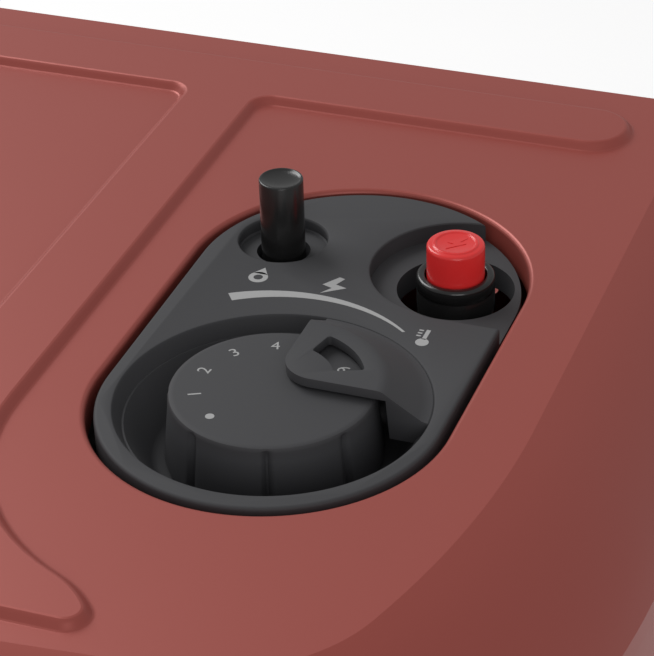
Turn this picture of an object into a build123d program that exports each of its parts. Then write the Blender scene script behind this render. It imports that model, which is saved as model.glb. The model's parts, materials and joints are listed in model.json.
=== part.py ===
from build123d import *

import os
from math import cos, radians, sin, sqrt

# Cabinet gas heater with infrared plaques. Millimetres, +Z up, front towards -Y.
# The origin is on the floor, under the middle of the cabinet.

# Cabinet sizes
width = 470.0
depth = 432.0
top_height = 752.0
case_rear = 85.0
sheet = 1.0
seam_gap = 0.3

# Plan of the case: straight side, swept side, round corner, bowed front
side_radius = 266.0
sweep_angle = 18.5
corner_radius = 69.6
front_angle = 84.0

# Pressed top
shoulder_width = 31.6
shoulder_drop = 31.0
shoulder_start = 20.0
shoulder_end = 69.0
skirt_height = 6.0
side_tuck = 5.0
yoke_height = 2.1
yoke_band_radius = 11.8
yoke_band_side = 55.7
yoke_band_inset = 23.2
yoke_branch_gap = 77.7
yoke_branch_width = 23.9
yoke_corner = 4.0
yoke_branch_reach = 46.0
yoke_swell_radius = 60.0
yoke_swell_angle = 66.0
yoke_ease_radius = 30.0
yoke_ease_angle = 48.0
yoke_recess_inset = 68.0

# Control opening and bezel, placed from the right side and the rear edge of the case
control_side_margin = 49.0
control_rear_margin = 69.15
opening_half = 42.0
opening_straight = 28.85
opening_flange = 8.4
bezel_gap = 1.9
bezel_wall = 2.2
bezel_plate = 2.4
bezel_lug = 3.5
bezel_lug_height = 2.5
bezel_chamfer = 0.8
bezel_post_radius = 4.0
bezel_post_inset = 10.1
bezel_post_y = 10.0

# Knob and its dish
knob_offset = 27.7
dish_rim = 3.8
dish_slope = 8.6
dish_depth = 14.7
knob_gap = 2.5
knob_taper = 1.5
knob_proud = 3.2
knob_floor_gap = 1.0
knob_wall = 2.0
knob_groove = 1.05
knob_groove_count = 8
knob_groove_start = 17.5
knob_hub_radius = 8.0

# Hood with the index window
hood_top = 6.3
hood_thickness = 2.3
hood_foot_rim = 1.4
hood_front = 1.7
hood_corner = 8.4
window_rim = 4.2
window_span = 7.1
window_start = 20.0
window_end = 77.0
window_corner = 2.0

# Pilot button
pilot_inset = 17.0
pilot_y = 40.1
pilot_recess_radius = 11.1
pilot_recess_depth = 3.4
pilot_hole_radius = 6.7
pilot_radius = 5.5
pilot_proud = 17.2
pilot_below = 11.0
pilot_travel = 8.0
pilot_spindle_radius = 2.0

# Igniter button
piezo_inset = 17.4
piezo_y = 37.4
recess_inset = 16.6
recess_y = 39.5
recess_radius = 22.3
recess_depth = 4.6
recess_step_inset = 21.2
recess_step_y = 16.4
piezo_hole_radius = 14.4
collar_radius = 9.6
collar_bore = 7.5
collar_depth = 20.0
cap_radius = 7.1
cap_proud = 8.3
cap_below = 11.5
barrel_radius = 8.0
barrel_length = 28.0
nut_across = 22.0
nut_height = 6.0

# Valve, bracket and spindle
bracket_drop = 34.0
bracket_sheet = 2.0
bracket_gap = 2.5
bracket_front = 60.0
bracket_back = 62.0
bracket_flange = 9.0
valve_radius = 22.0
valve_height = 40.0
valve_arm = 22.0
magnet_radius = 12.0
magnet_height = 46.0
spindle_radius = 4.0
running_gap = 0.05
port_radius = 7.0
port_length = 8.0

# Gas tubes
feed_radius = 4.0
pilot_tube_radius = 2.0
tube_wall = 1.0
feed_run = 46.0
pilot_run = 34.0
tube_bend = 14.0
spigot_radius = 4.5
spigot_length = 24.0
spigot_bore = 2.5
spigot_collar = 7.0

# Burner
window_side = 87.0
window_foot = 368.0
window_drop = 120.0
front_margin = 10.0
surround_margin = 38.0
surround_sheet = 1.6
reveal_wall = 1.6
reveal_taper = 7.0
reflector_back_inset = 58.0
reflector_front_inset = 30.0
reflector_taper = 4.0
burner_side = 7.0
burner_web = 14.0
burner_margin = 23.0
plaque_thickness = 13.0
plaque_gap = 1.0
pan_wall = 1.2
pan_flange = 4.5
pan_depth = 30.0
mixer_radius = 10.0
mixer_drop = 32.0
mixer_cone = 16.0
mixer_bell = 15.0
manifold_drop = 68.0
manifold_radius = 7.0
injector_radius = 5.0
injector_height = 18.0
pilot_reach = 12.0
pilot_pitch = 14.0

# Guard
guard_inset = 10.0
guard_bar_radius = 2.0
guard_wire_radius = 1.5
guard_wire_count = 17
guard_bar_count = 3
guard_sides = 8
guard_weld = 0.8

# Inner sheets
bulkhead_inset = 112.0
deflector_rise = 16.0
deflector_inset = 32.0
deflector_lip = 30.0
lower_gap = 1.0
panel_gap = 0.8
panel_return = 12.0
slot_count = 5
slot_pitch = 14.0
slot_width = 220.0
slot_height = 5.0
vent_pitch = 62.0
vent_gap = 14.0
vent_count = 5

# Base, rear panel and rear cover
base_sheet = 1.2
base_wall = 24.0
tray_side = 30.0
tray_back = 10.0
tray_corner = 45.0
flange_width = 16.0
cover_side = 4.0
cover_foot_gap = 5.0
cover_drop = 43.0
cover_front_gap = 2.0
cover_corner = 56.0
rear_panel_lap = 22.0
platform_side = 85.0
platform_front = -72.0
platform_rise = 2.0
platform_corner = 30.0

# Hinge of the rear cover
hinge_offset = 0.6
hinge_setback = 3.6
knuckle_radius = 3.2
hinge_pin_radius = 1.6
hinge_length = 60.0
hinge_leaf = 1.2
hinge_leaf_width = 16.0
hinge_margin = 101.5
knuckle_gap = 0.5

# Castors
castor_side = 59.0
castor_end = 70.0
castor_clearance = 14.0
castor_plate = 50.0
castor_plate_height = 2.0
castor_stem_radius = 5.5
castor_stem_length = 9.0
castor_trail = 18.0
wheel_radius = 25.0
wheel_width = 18.0
wheel_chamfer = 3.0
wheel_hollow = 3.0
fork_width = 25.0
fork_hub_radius = 12.0
wheel_side_gap = 0.6
axle_radius = 3.0
axle_head = 1.2

# Screws
screw_radius = 2.0
screw_head_radius = 4.0
screw_head_height = 1.1
screw_length = 5.0
side_screw_ys = (-40.0, 10.0, 60.0)
side_screw_rise = 14.0

# Places worked out from the sizes above
half_width = width / 2
base_height = 2 * wheel_radius + castor_clearance
sweep_x = half_width - side_radius + side_radius * cos(radians(sweep_angle))
corner_x = sweep_x - corner_radius * cos(radians(sweep_angle))
corner_end_x = corner_x + corner_radius * cos(radians(front_angle))
bow_radius = corner_end_x / cos(radians(front_angle))
sweep_run = side_radius * sin(radians(sweep_angle))
corner_run = corner_radius * (sin(radians(front_angle)) - sin(radians(sweep_angle)))
bow_run = bow_radius * (1 - sin(radians(front_angle)))
sweep_start = sweep_run + corner_run + bow_run - depth / 2
bow_centre = bow_radius - depth / 2
bezel_half = opening_half - bezel_gap
bezel_skirt = opening_flange + bezel_lug_height
dish_radius = bezel_half - dish_rim
dish_floor_radius = dish_radius - dish_slope
knob_skirt_radius = dish_floor_radius - knob_gap
knob_top_radius = knob_skirt_radius - knob_taper
hood_foot_radius = dish_radius - hood_foot_rim
window_outer = knob_skirt_radius - window_rim
window_inner = window_outer - window_span
bezel_post_x = bezel_half - bezel_post_inset
pilot_x = pilot_inset - bezel_half
piezo_x = bezel_half - piezo_inset
recess_x = bezel_half - recess_inset
recess_step_x = bezel_half - recess_step_inset
control_x = half_width - opening_half - control_side_margin
control_y = case_rear - opening_half - opening_straight - control_rear_margin
yoke_band_reach = half_width - yoke_band_side
yoke_branch_inner = control_x - yoke_branch_gap
yoke_branch_front = control_y - yoke_branch_reach
yoke_recess_front = yoke_recess_inset - depth / 2
skirt_foot = top_height - shoulder_drop - skirt_height
panel_head = skirt_foot + side_tuck
panel_inset = sheet + seam_gap
liner_inset = panel_inset + sheet + seam_gap
bracket_half = opening_half + bezel_lug + bracket_gap
bracket_top = top_height - bracket_drop
bracket_foot = bracket_top - bracket_sheet
knob_x = control_x
knob_y = control_y - knob_offset
pilot_centre = (control_x + pilot_x, control_y + pilot_y)
piezo_centre = (control_x + piezo_x, control_y + piezo_y)
top_plane = Plane((control_x, control_y, top_height))
knob_plane = Plane((knob_x, knob_y, top_height))
window_half = half_width - window_side
window_head = top_height - window_drop
front_split = window_half + front_margin
surround_foot = window_foot - surround_margin
reflector_back = reflector_back_inset - depth / 2
reflector_front = reflector_front_inset - depth / 2
bulkhead_front = bulkhead_inset - depth / 2
bulkhead_head = window_head + deflector_rise
deflector_front = deflector_inset - depth / 2
burner_y = reflector_back + sheet + pan_depth / 2
burner_pitch = 2 * (window_half - burner_side) / 3
burner_foot = window_foot + burner_margin
plaque_width = burner_pitch - burner_web
plaque_height = window_head - window_foot - 2 * burner_margin
mixer_foot = window_foot - mixer_drop
manifold_height = window_foot - manifold_drop
burner_xs = {"left": -burner_pitch, "centre": 0.0, "right": burner_pitch}
plaque_middle = burner_foot + plaque_height / 2
panel_half = front_split - panel_gap
yoke_y = case_rear - yoke_band_inset
lower_foot = base_height + base_wall + lower_gap
tray_half = half_width - tray_side
tray_rear = depth / 2 - tray_back
cover_half = half_width - cover_side
cover_foot = base_height + cover_foot_gap
cover_head = skirt_foot - cover_drop
rear_panel_foot = cover_head - rear_panel_lap
side_screw_height = base_height + side_screw_rise
hinge_x = -cover_half - hinge_offset
hinge_y = case_rear + hinge_setback
hinge_heights = (cover_foot + hinge_margin, cover_head - hinge_margin)
castor_x = half_width - castor_side
castor_y = depth / 2 - castor_end
castor_spots = {
    "front_left": (-castor_x, -castor_y),
    "front_right": (castor_x, -castor_y),
    "rear_left": (-castor_x, castor_y),
    "rear_right": (castor_x, castor_y),
}

os.makedirs("parts", exist_ok=True)


def plan_section(height, inset, rear=case_rear):
    """Plan of the case at a height, drawn in from its outer faces by an inset."""
    with BuildSketch(Plane.XY.offset(height)) as section:
        with BuildLine():
            side = Line((half_width - inset, rear), (half_width - inset, sweep_start))
            swept = JernArc(side @ 1, side % 1, side_radius - inset, -sweep_angle)
            corner = JernArc(swept @ 1, swept % 1, corner_radius - inset, sweep_angle - front_angle)
            JernArc(corner @ 1, corner % 1, bow_radius - inset, front_angle - 90)
            mirror(about=Plane.YZ)
            Line((inset - half_width, rear), (half_width - inset, rear))
        make_face()
    return section.sketch


def bow_y(x, inset):
    """Y of the bowed front at x, drawn in by an inset."""
    return bow_centre - sqrt((bow_radius - inset) ** 2 - x**2)


def shoulder_sections(wall, count=5):
    """Plans down the pressed shoulder, whose slope runs from its start to its end angle."""
    turn = shoulder_end - shoulder_start
    radius_out = shoulder_width / (cos(radians(shoulder_start)) - cos(radians(shoulder_end)))
    rise = sin(radians(shoulder_end)) - sin(radians(shoulder_start))
    sections = []
    for step in range(count):
        share = step / (count - 1)
        slope = radians(shoulder_start + turn * share)
        out = (sin(slope) - sin(radians(shoulder_start))) / rise
        down = (cos(radians(shoulder_start)) - cos(slope)) * radius_out / shoulder_width
        inset = shoulder_width * (1 - out) + wall * share
        height = top_height - shoulder_drop * down - wall * (1 - share)
        sections.append(plan_section(height, inset, case_rear - wall))
    return sections


def stadium(plane, half, straight):
    """Slot shape of the control opening, long way front to back."""
    with BuildSketch(plane) as shape:
        SlotCenterToCenter(2 * straight, 2 * half, rotation=90)
    return shape.sketch


def window_section(y, half, foot, head, corner):
    """Upright rounded rectangle facing the front, at a distance along Y."""
    with BuildSketch(Plane((0, y, (foot + head) / 2), x_dir=(1, 0, 0), z_dir=(0, -1, 0))) as shape:
        RectangleRounded(2 * half, head - foot, corner)
    return shape.sketch


def gas_tube(points, radius, bend):
    """Tube along straight runs joined by bends; its closed ends hide the bore."""
    with BuildPart() as tube:
        with BuildLine():
            path = FilletPolyline(*points, radius=bend)
        with BuildSketch(Plane(path @ 0, z_dir=path % 0)):
            Circle(radius)
        sweep(path=path)
    return tube


# Pressed steel top with its raised yoke and the flanged control opening
with BuildPart() as top_panel:
    loft(shoulder_sections(0), ruled=True)
    extrude(plan_section(skirt_foot, 0), amount=skirt_height)
    with BuildSketch(Plane.XY.offset(top_height)):
        with BuildLine():
            branch = Line(
                (yoke_branch_inner + yoke_branch_width, yoke_y),
                (yoke_branch_inner + yoke_branch_width, yoke_branch_front),
            )
            swell = JernArc(branch @ 1, branch % 1, yoke_swell_radius, yoke_swell_angle)
            ease = JernArc(swell @ 1, swell % 1, yoke_ease_radius, -yoke_ease_angle)
            Line(ease @ 1, (0, (ease @ 1).Y))
            mirror(about=Plane.YZ)
            Line(branch @ 0, (-(branch @ 0).X, yoke_y))
        make_face()
        with Locations((0, yoke_y)):
            SlotCenterToCenter(2 * yoke_band_reach, 2 * yoke_band_radius)
        recess_back = yoke_y - yoke_band_radius
        with Locations((0, (recess_back + yoke_recess_front) / 2)):
            RectangleRounded(2 * yoke_branch_inner, recess_back - yoke_recess_front, yoke_corner,
                             mode=Mode.SUBTRACT)
    extrude(amount=yoke_height, taper=45)
    loft(shoulder_sections(sheet), ruled=True, mode=Mode.SUBTRACT)
    extrude(plan_section(skirt_foot, sheet, case_rear - sheet), amount=skirt_height,
            mode=Mode.SUBTRACT)
    extrude(stadium(top_plane.offset(-opening_flange), opening_half + sheet, opening_straight),
            amount=opening_flange - sheet / 2)
    extrude(stadium(top_plane.offset(-opening_flange), opening_half, opening_straight),
            amount=2 * opening_flange, mode=Mode.SUBTRACT)
top_panel.part.label = "top_panel"
export_step(top_panel.part, "parts/top_panel.step")

# Side panels: sheet that runs from the rear edge round the front corner
with BuildPart() as side_panel_right:
    extrude(plan_section(base_height, panel_inset), amount=panel_head - base_height)
    extrude(plan_section(base_height, panel_inset + sheet, case_rear + sheet),
            amount=panel_head - base_height, mode=Mode.SUBTRACT)
    with Locations(((half_width + front_split) / 2, 0, top_height / 2)):
        Box(half_width - front_split, 2 * depth, 2 * top_height, mode=Mode.INTERSECT)
    with Locations((half_width - panel_inset, case_rear, base_height)):
        Box(flange_width, sheet, skirt_foot - seam_gap - base_height,
            align=(Align.MAX, Align.MAX, Align.MIN))
    with Locations((half_width, case_rear - sheet - seam_gap, skirt_foot - seam_gap)):
        Box(width, depth, 2 * side_tuck, align=(Align.CENTER, Align.MIN, Align.MIN),
            mode=Mode.SUBTRACT)
    with Locations((front_split, bow_y(front_split, panel_inset), lower_foot)):
        Box(sheet, panel_return, panel_head - lower_foot,
            align=(Align.MIN, Align.MIN, Align.MIN))
    for screw_y in side_screw_ys:
        with BuildSketch(Plane((half_width, screw_y, side_screw_height), z_dir=(-1, 0, 0))):
            Circle(screw_radius)
        extrude(amount=2 * screw_length, mode=Mode.SUBTRACT)
side_panel_right.part.label = "side_panel_right"
export_step(side_panel_right.part, "parts/side_panel_right.step")

with BuildPart() as side_panel_left:
    mirror(side_panel_right.part, about=Plane.YZ)
side_panel_left.part.label = "side_panel_left"
export_step(side_panel_left.part, "parts/side_panel_left.step")

# Lower front panel: bowed pan with air slots
lower_height = surround_foot - panel_gap - lower_foot
with BuildPart() as lower_hollow:
    extrude(plan_section(lower_foot + sheet, panel_inset + sheet), amount=lower_height - 2 * sheet)
    with Locations((0, 0, top_height / 2)):
        Box(2 * (panel_half - sheet), 2 * depth, top_height, mode=Mode.INTERSECT)
with BuildPart() as front_lower_panel:
    extrude(plan_section(lower_foot, panel_inset), amount=lower_height)
    with Locations((0, bow_y(panel_half, panel_inset) + panel_return, top_height / 2)):
        Box(2 * panel_half, depth, 2 * top_height,
            align=(Align.CENTER, Align.MAX, Align.CENTER), mode=Mode.INTERSECT)
    add(lower_hollow.part, mode=Mode.SUBTRACT)
    with BuildSketch(Plane((0, -depth / 2 - sheet, lower_foot + 2 * slot_pitch), x_dir=(1, 0, 0),
                           z_dir=(0, -1, 0))):
        for row in range(slot_count):
            with Locations((0, row * slot_pitch)):
                SlotOverall(slot_width, slot_height)
    extrude(amount=-depth / 4, mode=Mode.SUBTRACT)
front_lower_panel.part.label = "front_lower_panel"
export_step(front_lower_panel.part, "parts/front_lower_panel.step")

# Front surround: bowed plate with a tapered reveal round the burner window
reveal_mouth = -depth / 2 - 2
with BuildPart() as surround_hollow:
    extrude(plan_section(surround_foot - 1, panel_inset + surround_sheet),
            amount=panel_head - surround_foot + 2)
with BuildPart() as front_surround:
    extrude(plan_section(surround_foot, panel_inset), amount=panel_head - surround_foot)
    with Locations((0, -depth / 2, top_height / 2)):
        Box(2 * panel_half, depth, 2 * top_height, mode=Mode.INTERSECT)
    add(surround_hollow.part, mode=Mode.SUBTRACT)
    loft([
        window_section(bow_y(window_half, panel_inset), window_half + reveal_wall,
                       window_foot - reveal_wall, window_head + reveal_wall, 12),
        window_section(reflector_front, window_half - reveal_taper + reveal_wall,
                       window_foot + reveal_taper - reveal_wall,
                       window_head - reveal_taper + reveal_wall, 12),
    ])
    loft([
        window_section(reveal_mouth, window_half, window_foot, window_head, 12),
        window_section(reflector_front, window_half - reveal_taper, window_foot + reveal_taper,
                       window_head - reveal_taper, 12),
    ], mode=Mode.SUBTRACT)
front_surround.part.label = "front_surround"
export_step(front_surround.part, "parts/front_surround.step")

# Wire guard: bars bent along the bow, upright wires welded behind them
reveal_share = (bow_y(window_half, guard_inset) - reveal_mouth) / (reflector_front - reveal_mouth)
bar_reach = window_half - reveal_taper * reveal_share - 3 * seam_gap
with BuildPart() as wire_guard:
    for bar in range(guard_bar_count):
        bar_z = window_foot + 24 + bar * (window_head - window_foot - 48) / (guard_bar_count - 1)
        ends = [(side * bar_reach, bow_y(bar_reach, guard_inset), bar_z) for side in (-1, 1)]
        with BuildLine():
            bar_arc = ThreePointArc(ends[0], (0, bow_y(0, guard_inset), bar_z), ends[1])
        with BuildSketch(Plane(bar_arc @ 0, z_dir=bar_arc % 0)):
            RegularPolygon(guard_bar_radius, guard_sides)
        sweep(path=bar_arc)
    for wire in range(guard_wire_count):
        wire_x = (wire - (guard_wire_count - 1) / 2) * 2 * (window_half - 10) / (guard_wire_count - 1)
        wire_y = bow_y(wire_x, guard_inset) + guard_bar_radius + guard_wire_radius - guard_weld
        with BuildSketch(Plane((wire_x, wire_y, window_foot + 8))):
            RegularPolygon(guard_wire_radius, guard_sides)
        extrude(amount=window_head - window_foot - 16)
wire_guard.part.label = "wire_guard"
export_step(wire_guard.part, "parts/wire_guard.step")

# Reflector: flared box with a back plate pierced for the three burners
reflector_mouth = reflector_front + 0.3
with BuildPart() as reflector_box:
    outer_back = (window_half - reveal_taper - reflector_taper, window_foot + reveal_taper,
                  window_head - reveal_taper)
    loft([
        window_section(reflector_mouth, window_half - reveal_taper + sheet + 3,
                       window_foot + reveal_taper - sheet - 3,
                       window_head - reveal_taper + sheet + 3, 10),
        window_section(reflector_back + sheet, outer_back[0] + sheet, outer_back[1] - sheet,
                       outer_back[2] + sheet, 10),
    ])
    loft([
        window_section(reflector_mouth - 0.01, window_half - reveal_taper + 3,
                       window_foot + reveal_taper - 3, window_head - reveal_taper + 3, 10),
        window_section(reflector_back, outer_back[0], outer_back[1], outer_back[2], 10),
    ], mode=Mode.SUBTRACT)
    for burner_x in burner_xs.values():
        with Locations((burner_x, reflector_back, plaque_middle)):
            Box(plaque_width + 2 * plaque_gap, 4, plaque_height + 2 * plaque_gap,
                mode=Mode.SUBTRACT)
    for hole_x in (-pilot_pitch, 0, pilot_pitch):
        with Locations((burner_pitch / 2 + hole_x, reflector_back - pilot_reach, window_foot)):
            Cylinder(3.6, 40, mode=Mode.SUBTRACT)
reflector_box.part.label = "reflector_box"
export_step(reflector_box.part, "parts/reflector_box.step")

# Burners: pressed pans on mixing tubes, each closed by a ceramic plaque
for side, burner_x in burner_xs.items():
    pan_y = reflector_back + sheet
    with BuildPart() as burner_pan:
        with Locations((burner_x, pan_y, plaque_middle)):
            Box(plaque_width + 2 * (plaque_gap + pan_wall), pan_depth,
                plaque_height + 2 * (plaque_gap + pan_wall),
                align=(Align.CENTER, Align.MIN, Align.CENTER))
        chamfer(burner_pan.faces().sort_by(Axis.Y)[-1].edges(), 5)
        with Locations((burner_x, pan_y, plaque_middle)):
            Box(plaque_width + 2 * (plaque_gap + pan_wall + pan_flange - 1), sheet,
                plaque_height + 2 * (plaque_gap + pan_wall + pan_flange),
                align=(Align.CENTER, Align.MIN, Align.CENTER))
        with Locations((burner_x, pan_y, plaque_middle)):
            Box(plaque_width + 2 * plaque_gap, plaque_thickness - sheet,
                plaque_height + 2 * plaque_gap,
                align=(Align.CENTER, Align.MIN, Align.CENTER), mode=Mode.SUBTRACT)
            Box(plaque_width - 8, pan_depth - 3, plaque_height - 8,
                align=(Align.CENTER, Align.MIN, Align.CENTER), mode=Mode.SUBTRACT)
        with BuildSketch(Plane((burner_x, burner_y, mixer_foot))):
            Circle(mixer_bell)
        with BuildSketch(Plane((burner_x, burner_y, mixer_foot + mixer_cone))):
            Circle(mixer_radius)
        loft()
        with Locations((burner_x, burner_y, mixer_foot + mixer_cone)):
            Cylinder(mixer_radius, burner_foot - plaque_gap - mixer_foot - mixer_cone,
                     align=(Align.CENTER, Align.CENTER, Align.MIN))
        with BuildSketch(Plane((burner_x, burner_y, mixer_foot))):
            Circle(mixer_bell - pan_wall)
        with BuildSketch(Plane((burner_x, burner_y, mixer_foot + mixer_cone))):
            Circle(mixer_radius - pan_wall)
        loft(mode=Mode.SUBTRACT)
        with Locations((burner_x, burner_y, mixer_foot + mixer_cone - 1)):
            Cylinder(mixer_radius - pan_wall, burner_foot - mixer_foot - 10,
                     align=(Align.CENTER, Align.CENTER, Align.MIN), mode=Mode.SUBTRACT)
    burner_pan.part.label = f"burner_{side}"
    export_step(burner_pan.part, f"parts/burner_{side}.step")

    with BuildPart() as plaque:
        tile_height = plaque_height / 2
        for tile in (-1, 1):
            with Locations((burner_x, reflector_back, plaque_middle + tile * tile_height / 2)):
                Box(plaque_width, plaque_thickness, tile_height,
                    align=(Align.CENTER, Align.MIN, Align.CENTER))
        chamfer(plaque.faces().sort_by(Axis.Y)[0].edges(), 1)
    plaque.part.label = f"plaque_{side}"
    export_step(plaque.part, f"parts/plaque_{side}.step")

# Gas manifold with bosses for the injectors and two straps to the bulkhead
manifold_end = burner_pitch + 22
with BuildPart() as gas_manifold:
    with BuildSketch(Plane((-manifold_end, burner_y, manifold_height), z_dir=(1, 0, 0))):
        Circle(manifold_radius)
    extrude(amount=2 * manifold_end)
    for burner_x in burner_xs.values():
        with Locations((burner_x, burner_y, manifold_height)):
            Cylinder(manifold_radius, manifold_radius + 4,
                     align=(Align.CENTER, Align.CENTER, Align.MIN))
    for strap_x in (-burner_pitch / 2, burner_pitch / 2):
        with Locations((strap_x, bulkhead_front, manifold_height - manifold_radius)):
            Box(16, bulkhead_front - burner_y, 2, align=(Align.CENTER, Align.MAX, Align.MIN))
            Box(16, 2, 18, align=(Align.CENTER, Align.MAX, Align.MIN))
    with BuildSketch(Plane((manifold_end, burner_y, manifold_height), z_dir=(-1, 0, 0))):
        Circle(feed_radius - tube_wall)
    extrude(amount=2 * manifold_end - 6, mode=Mode.SUBTRACT)
    for burner_x in burner_xs.values():
        with Locations((burner_x, burner_y, manifold_height)):
            Cylinder(1.5, manifold_radius + 4, align=(Align.CENTER, Align.CENTER, Align.MIN),
                     mode=Mode.SUBTRACT)
gas_manifold.part.label = "gas_manifold"
export_step(gas_manifold.part, "parts/gas_manifold.step")

with BuildPart() as injectors:
    for burner_x in burner_xs.values():
        injector_foot = manifold_height + manifold_radius + 4
        with BuildSketch(Plane((burner_x, burner_y, injector_foot))):
            RegularPolygon(injector_radius + 1, 6)
        extrude(amount=injector_height / 2)
        with Locations((burner_x, burner_y, injector_foot + injector_height / 2)):
            Cone(injector_radius, 2, injector_height / 2,
                 align=(Align.CENTER, Align.CENTER, Align.MIN))
        with Locations((burner_x, burner_y, injector_foot)):
            Cylinder(0.6, injector_height, align=(Align.CENTER, Align.CENTER, Align.MIN),
                     mode=Mode.SUBTRACT)
injectors.part.label = "injectors"
export_step(injectors.part, "parts/injectors.step")

# Bulkhead between burner and gas bottle, and deflector over the burner
rim_inset = liner_inset + sheet + seam_gap
bulkhead_reach = sqrt((side_radius - rim_inset) ** 2 - (bulkhead_front - sweep_start) ** 2)
bulkhead_half = half_width - side_radius + bulkhead_reach
feed_x = control_x + feed_run
pilot_tube_x = control_x + pilot_run
tube_y = burner_y
with BuildPart() as bulkhead:
    with Locations((0, bulkhead_front, base_height + base_sheet)):
        Box(2 * bulkhead_half, sheet, bulkhead_head - base_height - base_sheet,
            align=(Align.CENTER, Align.MIN, Align.MIN))
        Box(2 * bulkhead_half - 2, flange_width, sheet, align=(Align.CENTER, Align.MIN, Align.MIN))
    with BuildSketch(Plane((0, bulkhead_front, base_height + 60), x_dir=(1, 0, 0),
                           z_dir=(0, -1, 0))):
        with GridLocations(vent_pitch, slot_pitch, vent_count, 2):
            Rectangle(vent_pitch - vent_gap, slot_height)
    extrude(amount=-2 * sheet, mode=Mode.SUBTRACT)
bulkhead.part.label = "bulkhead"
export_step(bulkhead.part, "parts/bulkhead.step")

with BuildPart() as heat_deflector:
    extrude(plan_section(bulkhead_head, liner_inset + 4), amount=sheet)
    extrude(plan_section(bulkhead_head, liner_inset + 4), amount=deflector_lip)
    extrude(plan_section(bulkhead_head + sheet, liner_inset + 4 + sheet), amount=deflector_lip,
            mode=Mode.SUBTRACT)
    with Locations((0, bulkhead_front + sheet, top_height / 2)):
        Box(width, bulkhead_front + sheet - deflector_front, 2 * top_height,
            align=(Align.CENTER, Align.MAX, Align.CENTER), mode=Mode.INTERSECT)
    with Locations((0, deflector_front, bulkhead_head)):
        Box(2 * window_half, sheet, deflector_lip, align=(Align.CENTER, Align.MIN, Align.MIN))
    for hole_x in (feed_x, pilot_tube_x):
        with Locations((hole_x, tube_y, bulkhead_head)):
            Cylinder(feed_radius + 1, 4, mode=Mode.SUBTRACT)
heat_deflector.part.label = "heat_deflector"
export_step(heat_deflector.part, "parts/heat_deflector.step")


def base_plan(height, inset):
    """Plan of the base: the case's own outline with a narrower bottle tray behind it."""
    with BuildSketch(Plane.XY.offset(height)) as plan:
        add(plan_section(height, liner_inset + inset, case_rear - 2 * sheet - inset).moved(
            Location((0, 0, -height))))
        with Locations((0, (tray_rear - inset) / 2)):
            RectangleRounded(2 * (tray_half - inset), tray_rear - inset, tray_corner - inset)
    return plan.sketch


# Base pan with an upturned rim and a raised platform for the gas bottle
with BuildPart() as base_pan:
    extrude(base_plan(base_height, 0), amount=base_wall)
    extrude(base_plan(base_height + base_sheet, sheet), amount=base_wall, mode=Mode.SUBTRACT)
    for screw_y in side_screw_ys:
        for direction in (-1, 1):
            start = Plane((direction * half_width, screw_y, side_screw_height),
                          z_dir=(-direction, 0, 0))
            with BuildSketch(start):
                Circle(screw_radius)
            extrude(amount=2 * screw_length, mode=Mode.SUBTRACT)
    platform_rear = tray_rear - 25
    for level, mode in ((base_height + base_sheet, Mode.ADD), (base_height, Mode.SUBTRACT)):
        with BuildSketch(Plane.XY.offset(level)):
            with Locations((0, (platform_front + platform_rear) / 2)):
                RectangleRounded(2 * (half_width - platform_side), platform_rear - platform_front,
                                 platform_corner)
        extrude(amount=platform_rise, taper=45, mode=mode)
base_pan.part.label = "base_pan"
export_step(base_pan.part, "parts/base_pan.step")

# Fixed rear panel above the cover, with vent slots
rear_panel_half = half_width - liner_inset - 1
with BuildPart() as rear_panel:
    with Locations((0, case_rear - sheet, rear_panel_foot)):
        Box(2 * rear_panel_half, sheet, panel_head - rear_panel_foot,
            align=(Align.CENTER, Align.MAX, Align.MIN))
    with BuildSketch(Plane((0, case_rear, cover_head + 20), x_dir=(-1, 0, 0), z_dir=(0, 1, 0))):
        with GridLocations(vent_pitch, slot_pitch, vent_count, 2):
            SlotOverall(vent_pitch - vent_gap, slot_height)
    extrude(amount=-4 * sheet, mode=Mode.SUBTRACT)
rear_panel.part.label = "rear_panel"
export_step(rear_panel.part, "parts/rear_panel.step")


def cover_plan(height, inset):
    """Plan of the rear cover: straight sides and two round rear corners."""
    front = case_rear + cover_front_gap
    with BuildSketch(Plane.XY.offset(height)) as plan:
        with Locations((0, (depth / 2 - inset) / 2)):
            RectangleRounded(2 * (cover_half - inset), depth / 2 - inset, cover_corner - inset)
        with Locations((0, front)):
            Rectangle(width, depth / 2, align=(Align.CENTER, Align.MIN), mode=Mode.INTERSECT)
        with Locations((0, front)):
            Rectangle(2 * (cover_half - inset), depth / 8, align=(Align.CENTER, Align.MIN))
    return plan.sketch


# Rear cover over the bottle space: a deep pan, open to the front and below
cover_height = cover_head - cover_foot
with BuildPart() as rear_cover:
    extrude(cover_plan(cover_foot, 0), amount=cover_height)
    fillet(rear_cover.faces().sort_by(Axis.Z)[-1].edges().sort_by(Axis.Y)[1:], 10)
    extrude(cover_plan(cover_foot, sheet), amount=cover_height - 12, mode=Mode.SUBTRACT)
    with BuildSketch(Plane.XY.offset(cover_foot + cover_height - 12)):
        add(cover_plan(0, 10))
        with Locations((0, case_rear)):
            Rectangle(2 * (cover_half - 10), depth / 8, align=(Align.CENTER, Align.MIN))
    extrude(amount=12 - sheet, mode=Mode.SUBTRACT)
    for hinge_z in hinge_heights:
        with Locations((-cover_half, case_rear, hinge_z)):
            Box(8, 2 * (hinge_setback + knuckle_radius + 0.5), hinge_length + 8,
                mode=Mode.SUBTRACT)
    with BuildSketch(Plane((0, depth / 2, (cover_foot + cover_head) / 2 - 150), x_dir=(-1, 0, 0),
                           z_dir=(0, 1, 0))):
        with GridLocations(vent_pitch, slot_pitch, vent_count, 3):
            SlotOverall(vent_pitch - vent_gap, slot_height)
    extrude(amount=-4 * sheet, mode=Mode.SUBTRACT)
rear_cover.part.label = "rear_cover"
export_step(rear_cover.part, "parts/rear_cover.step")

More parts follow.
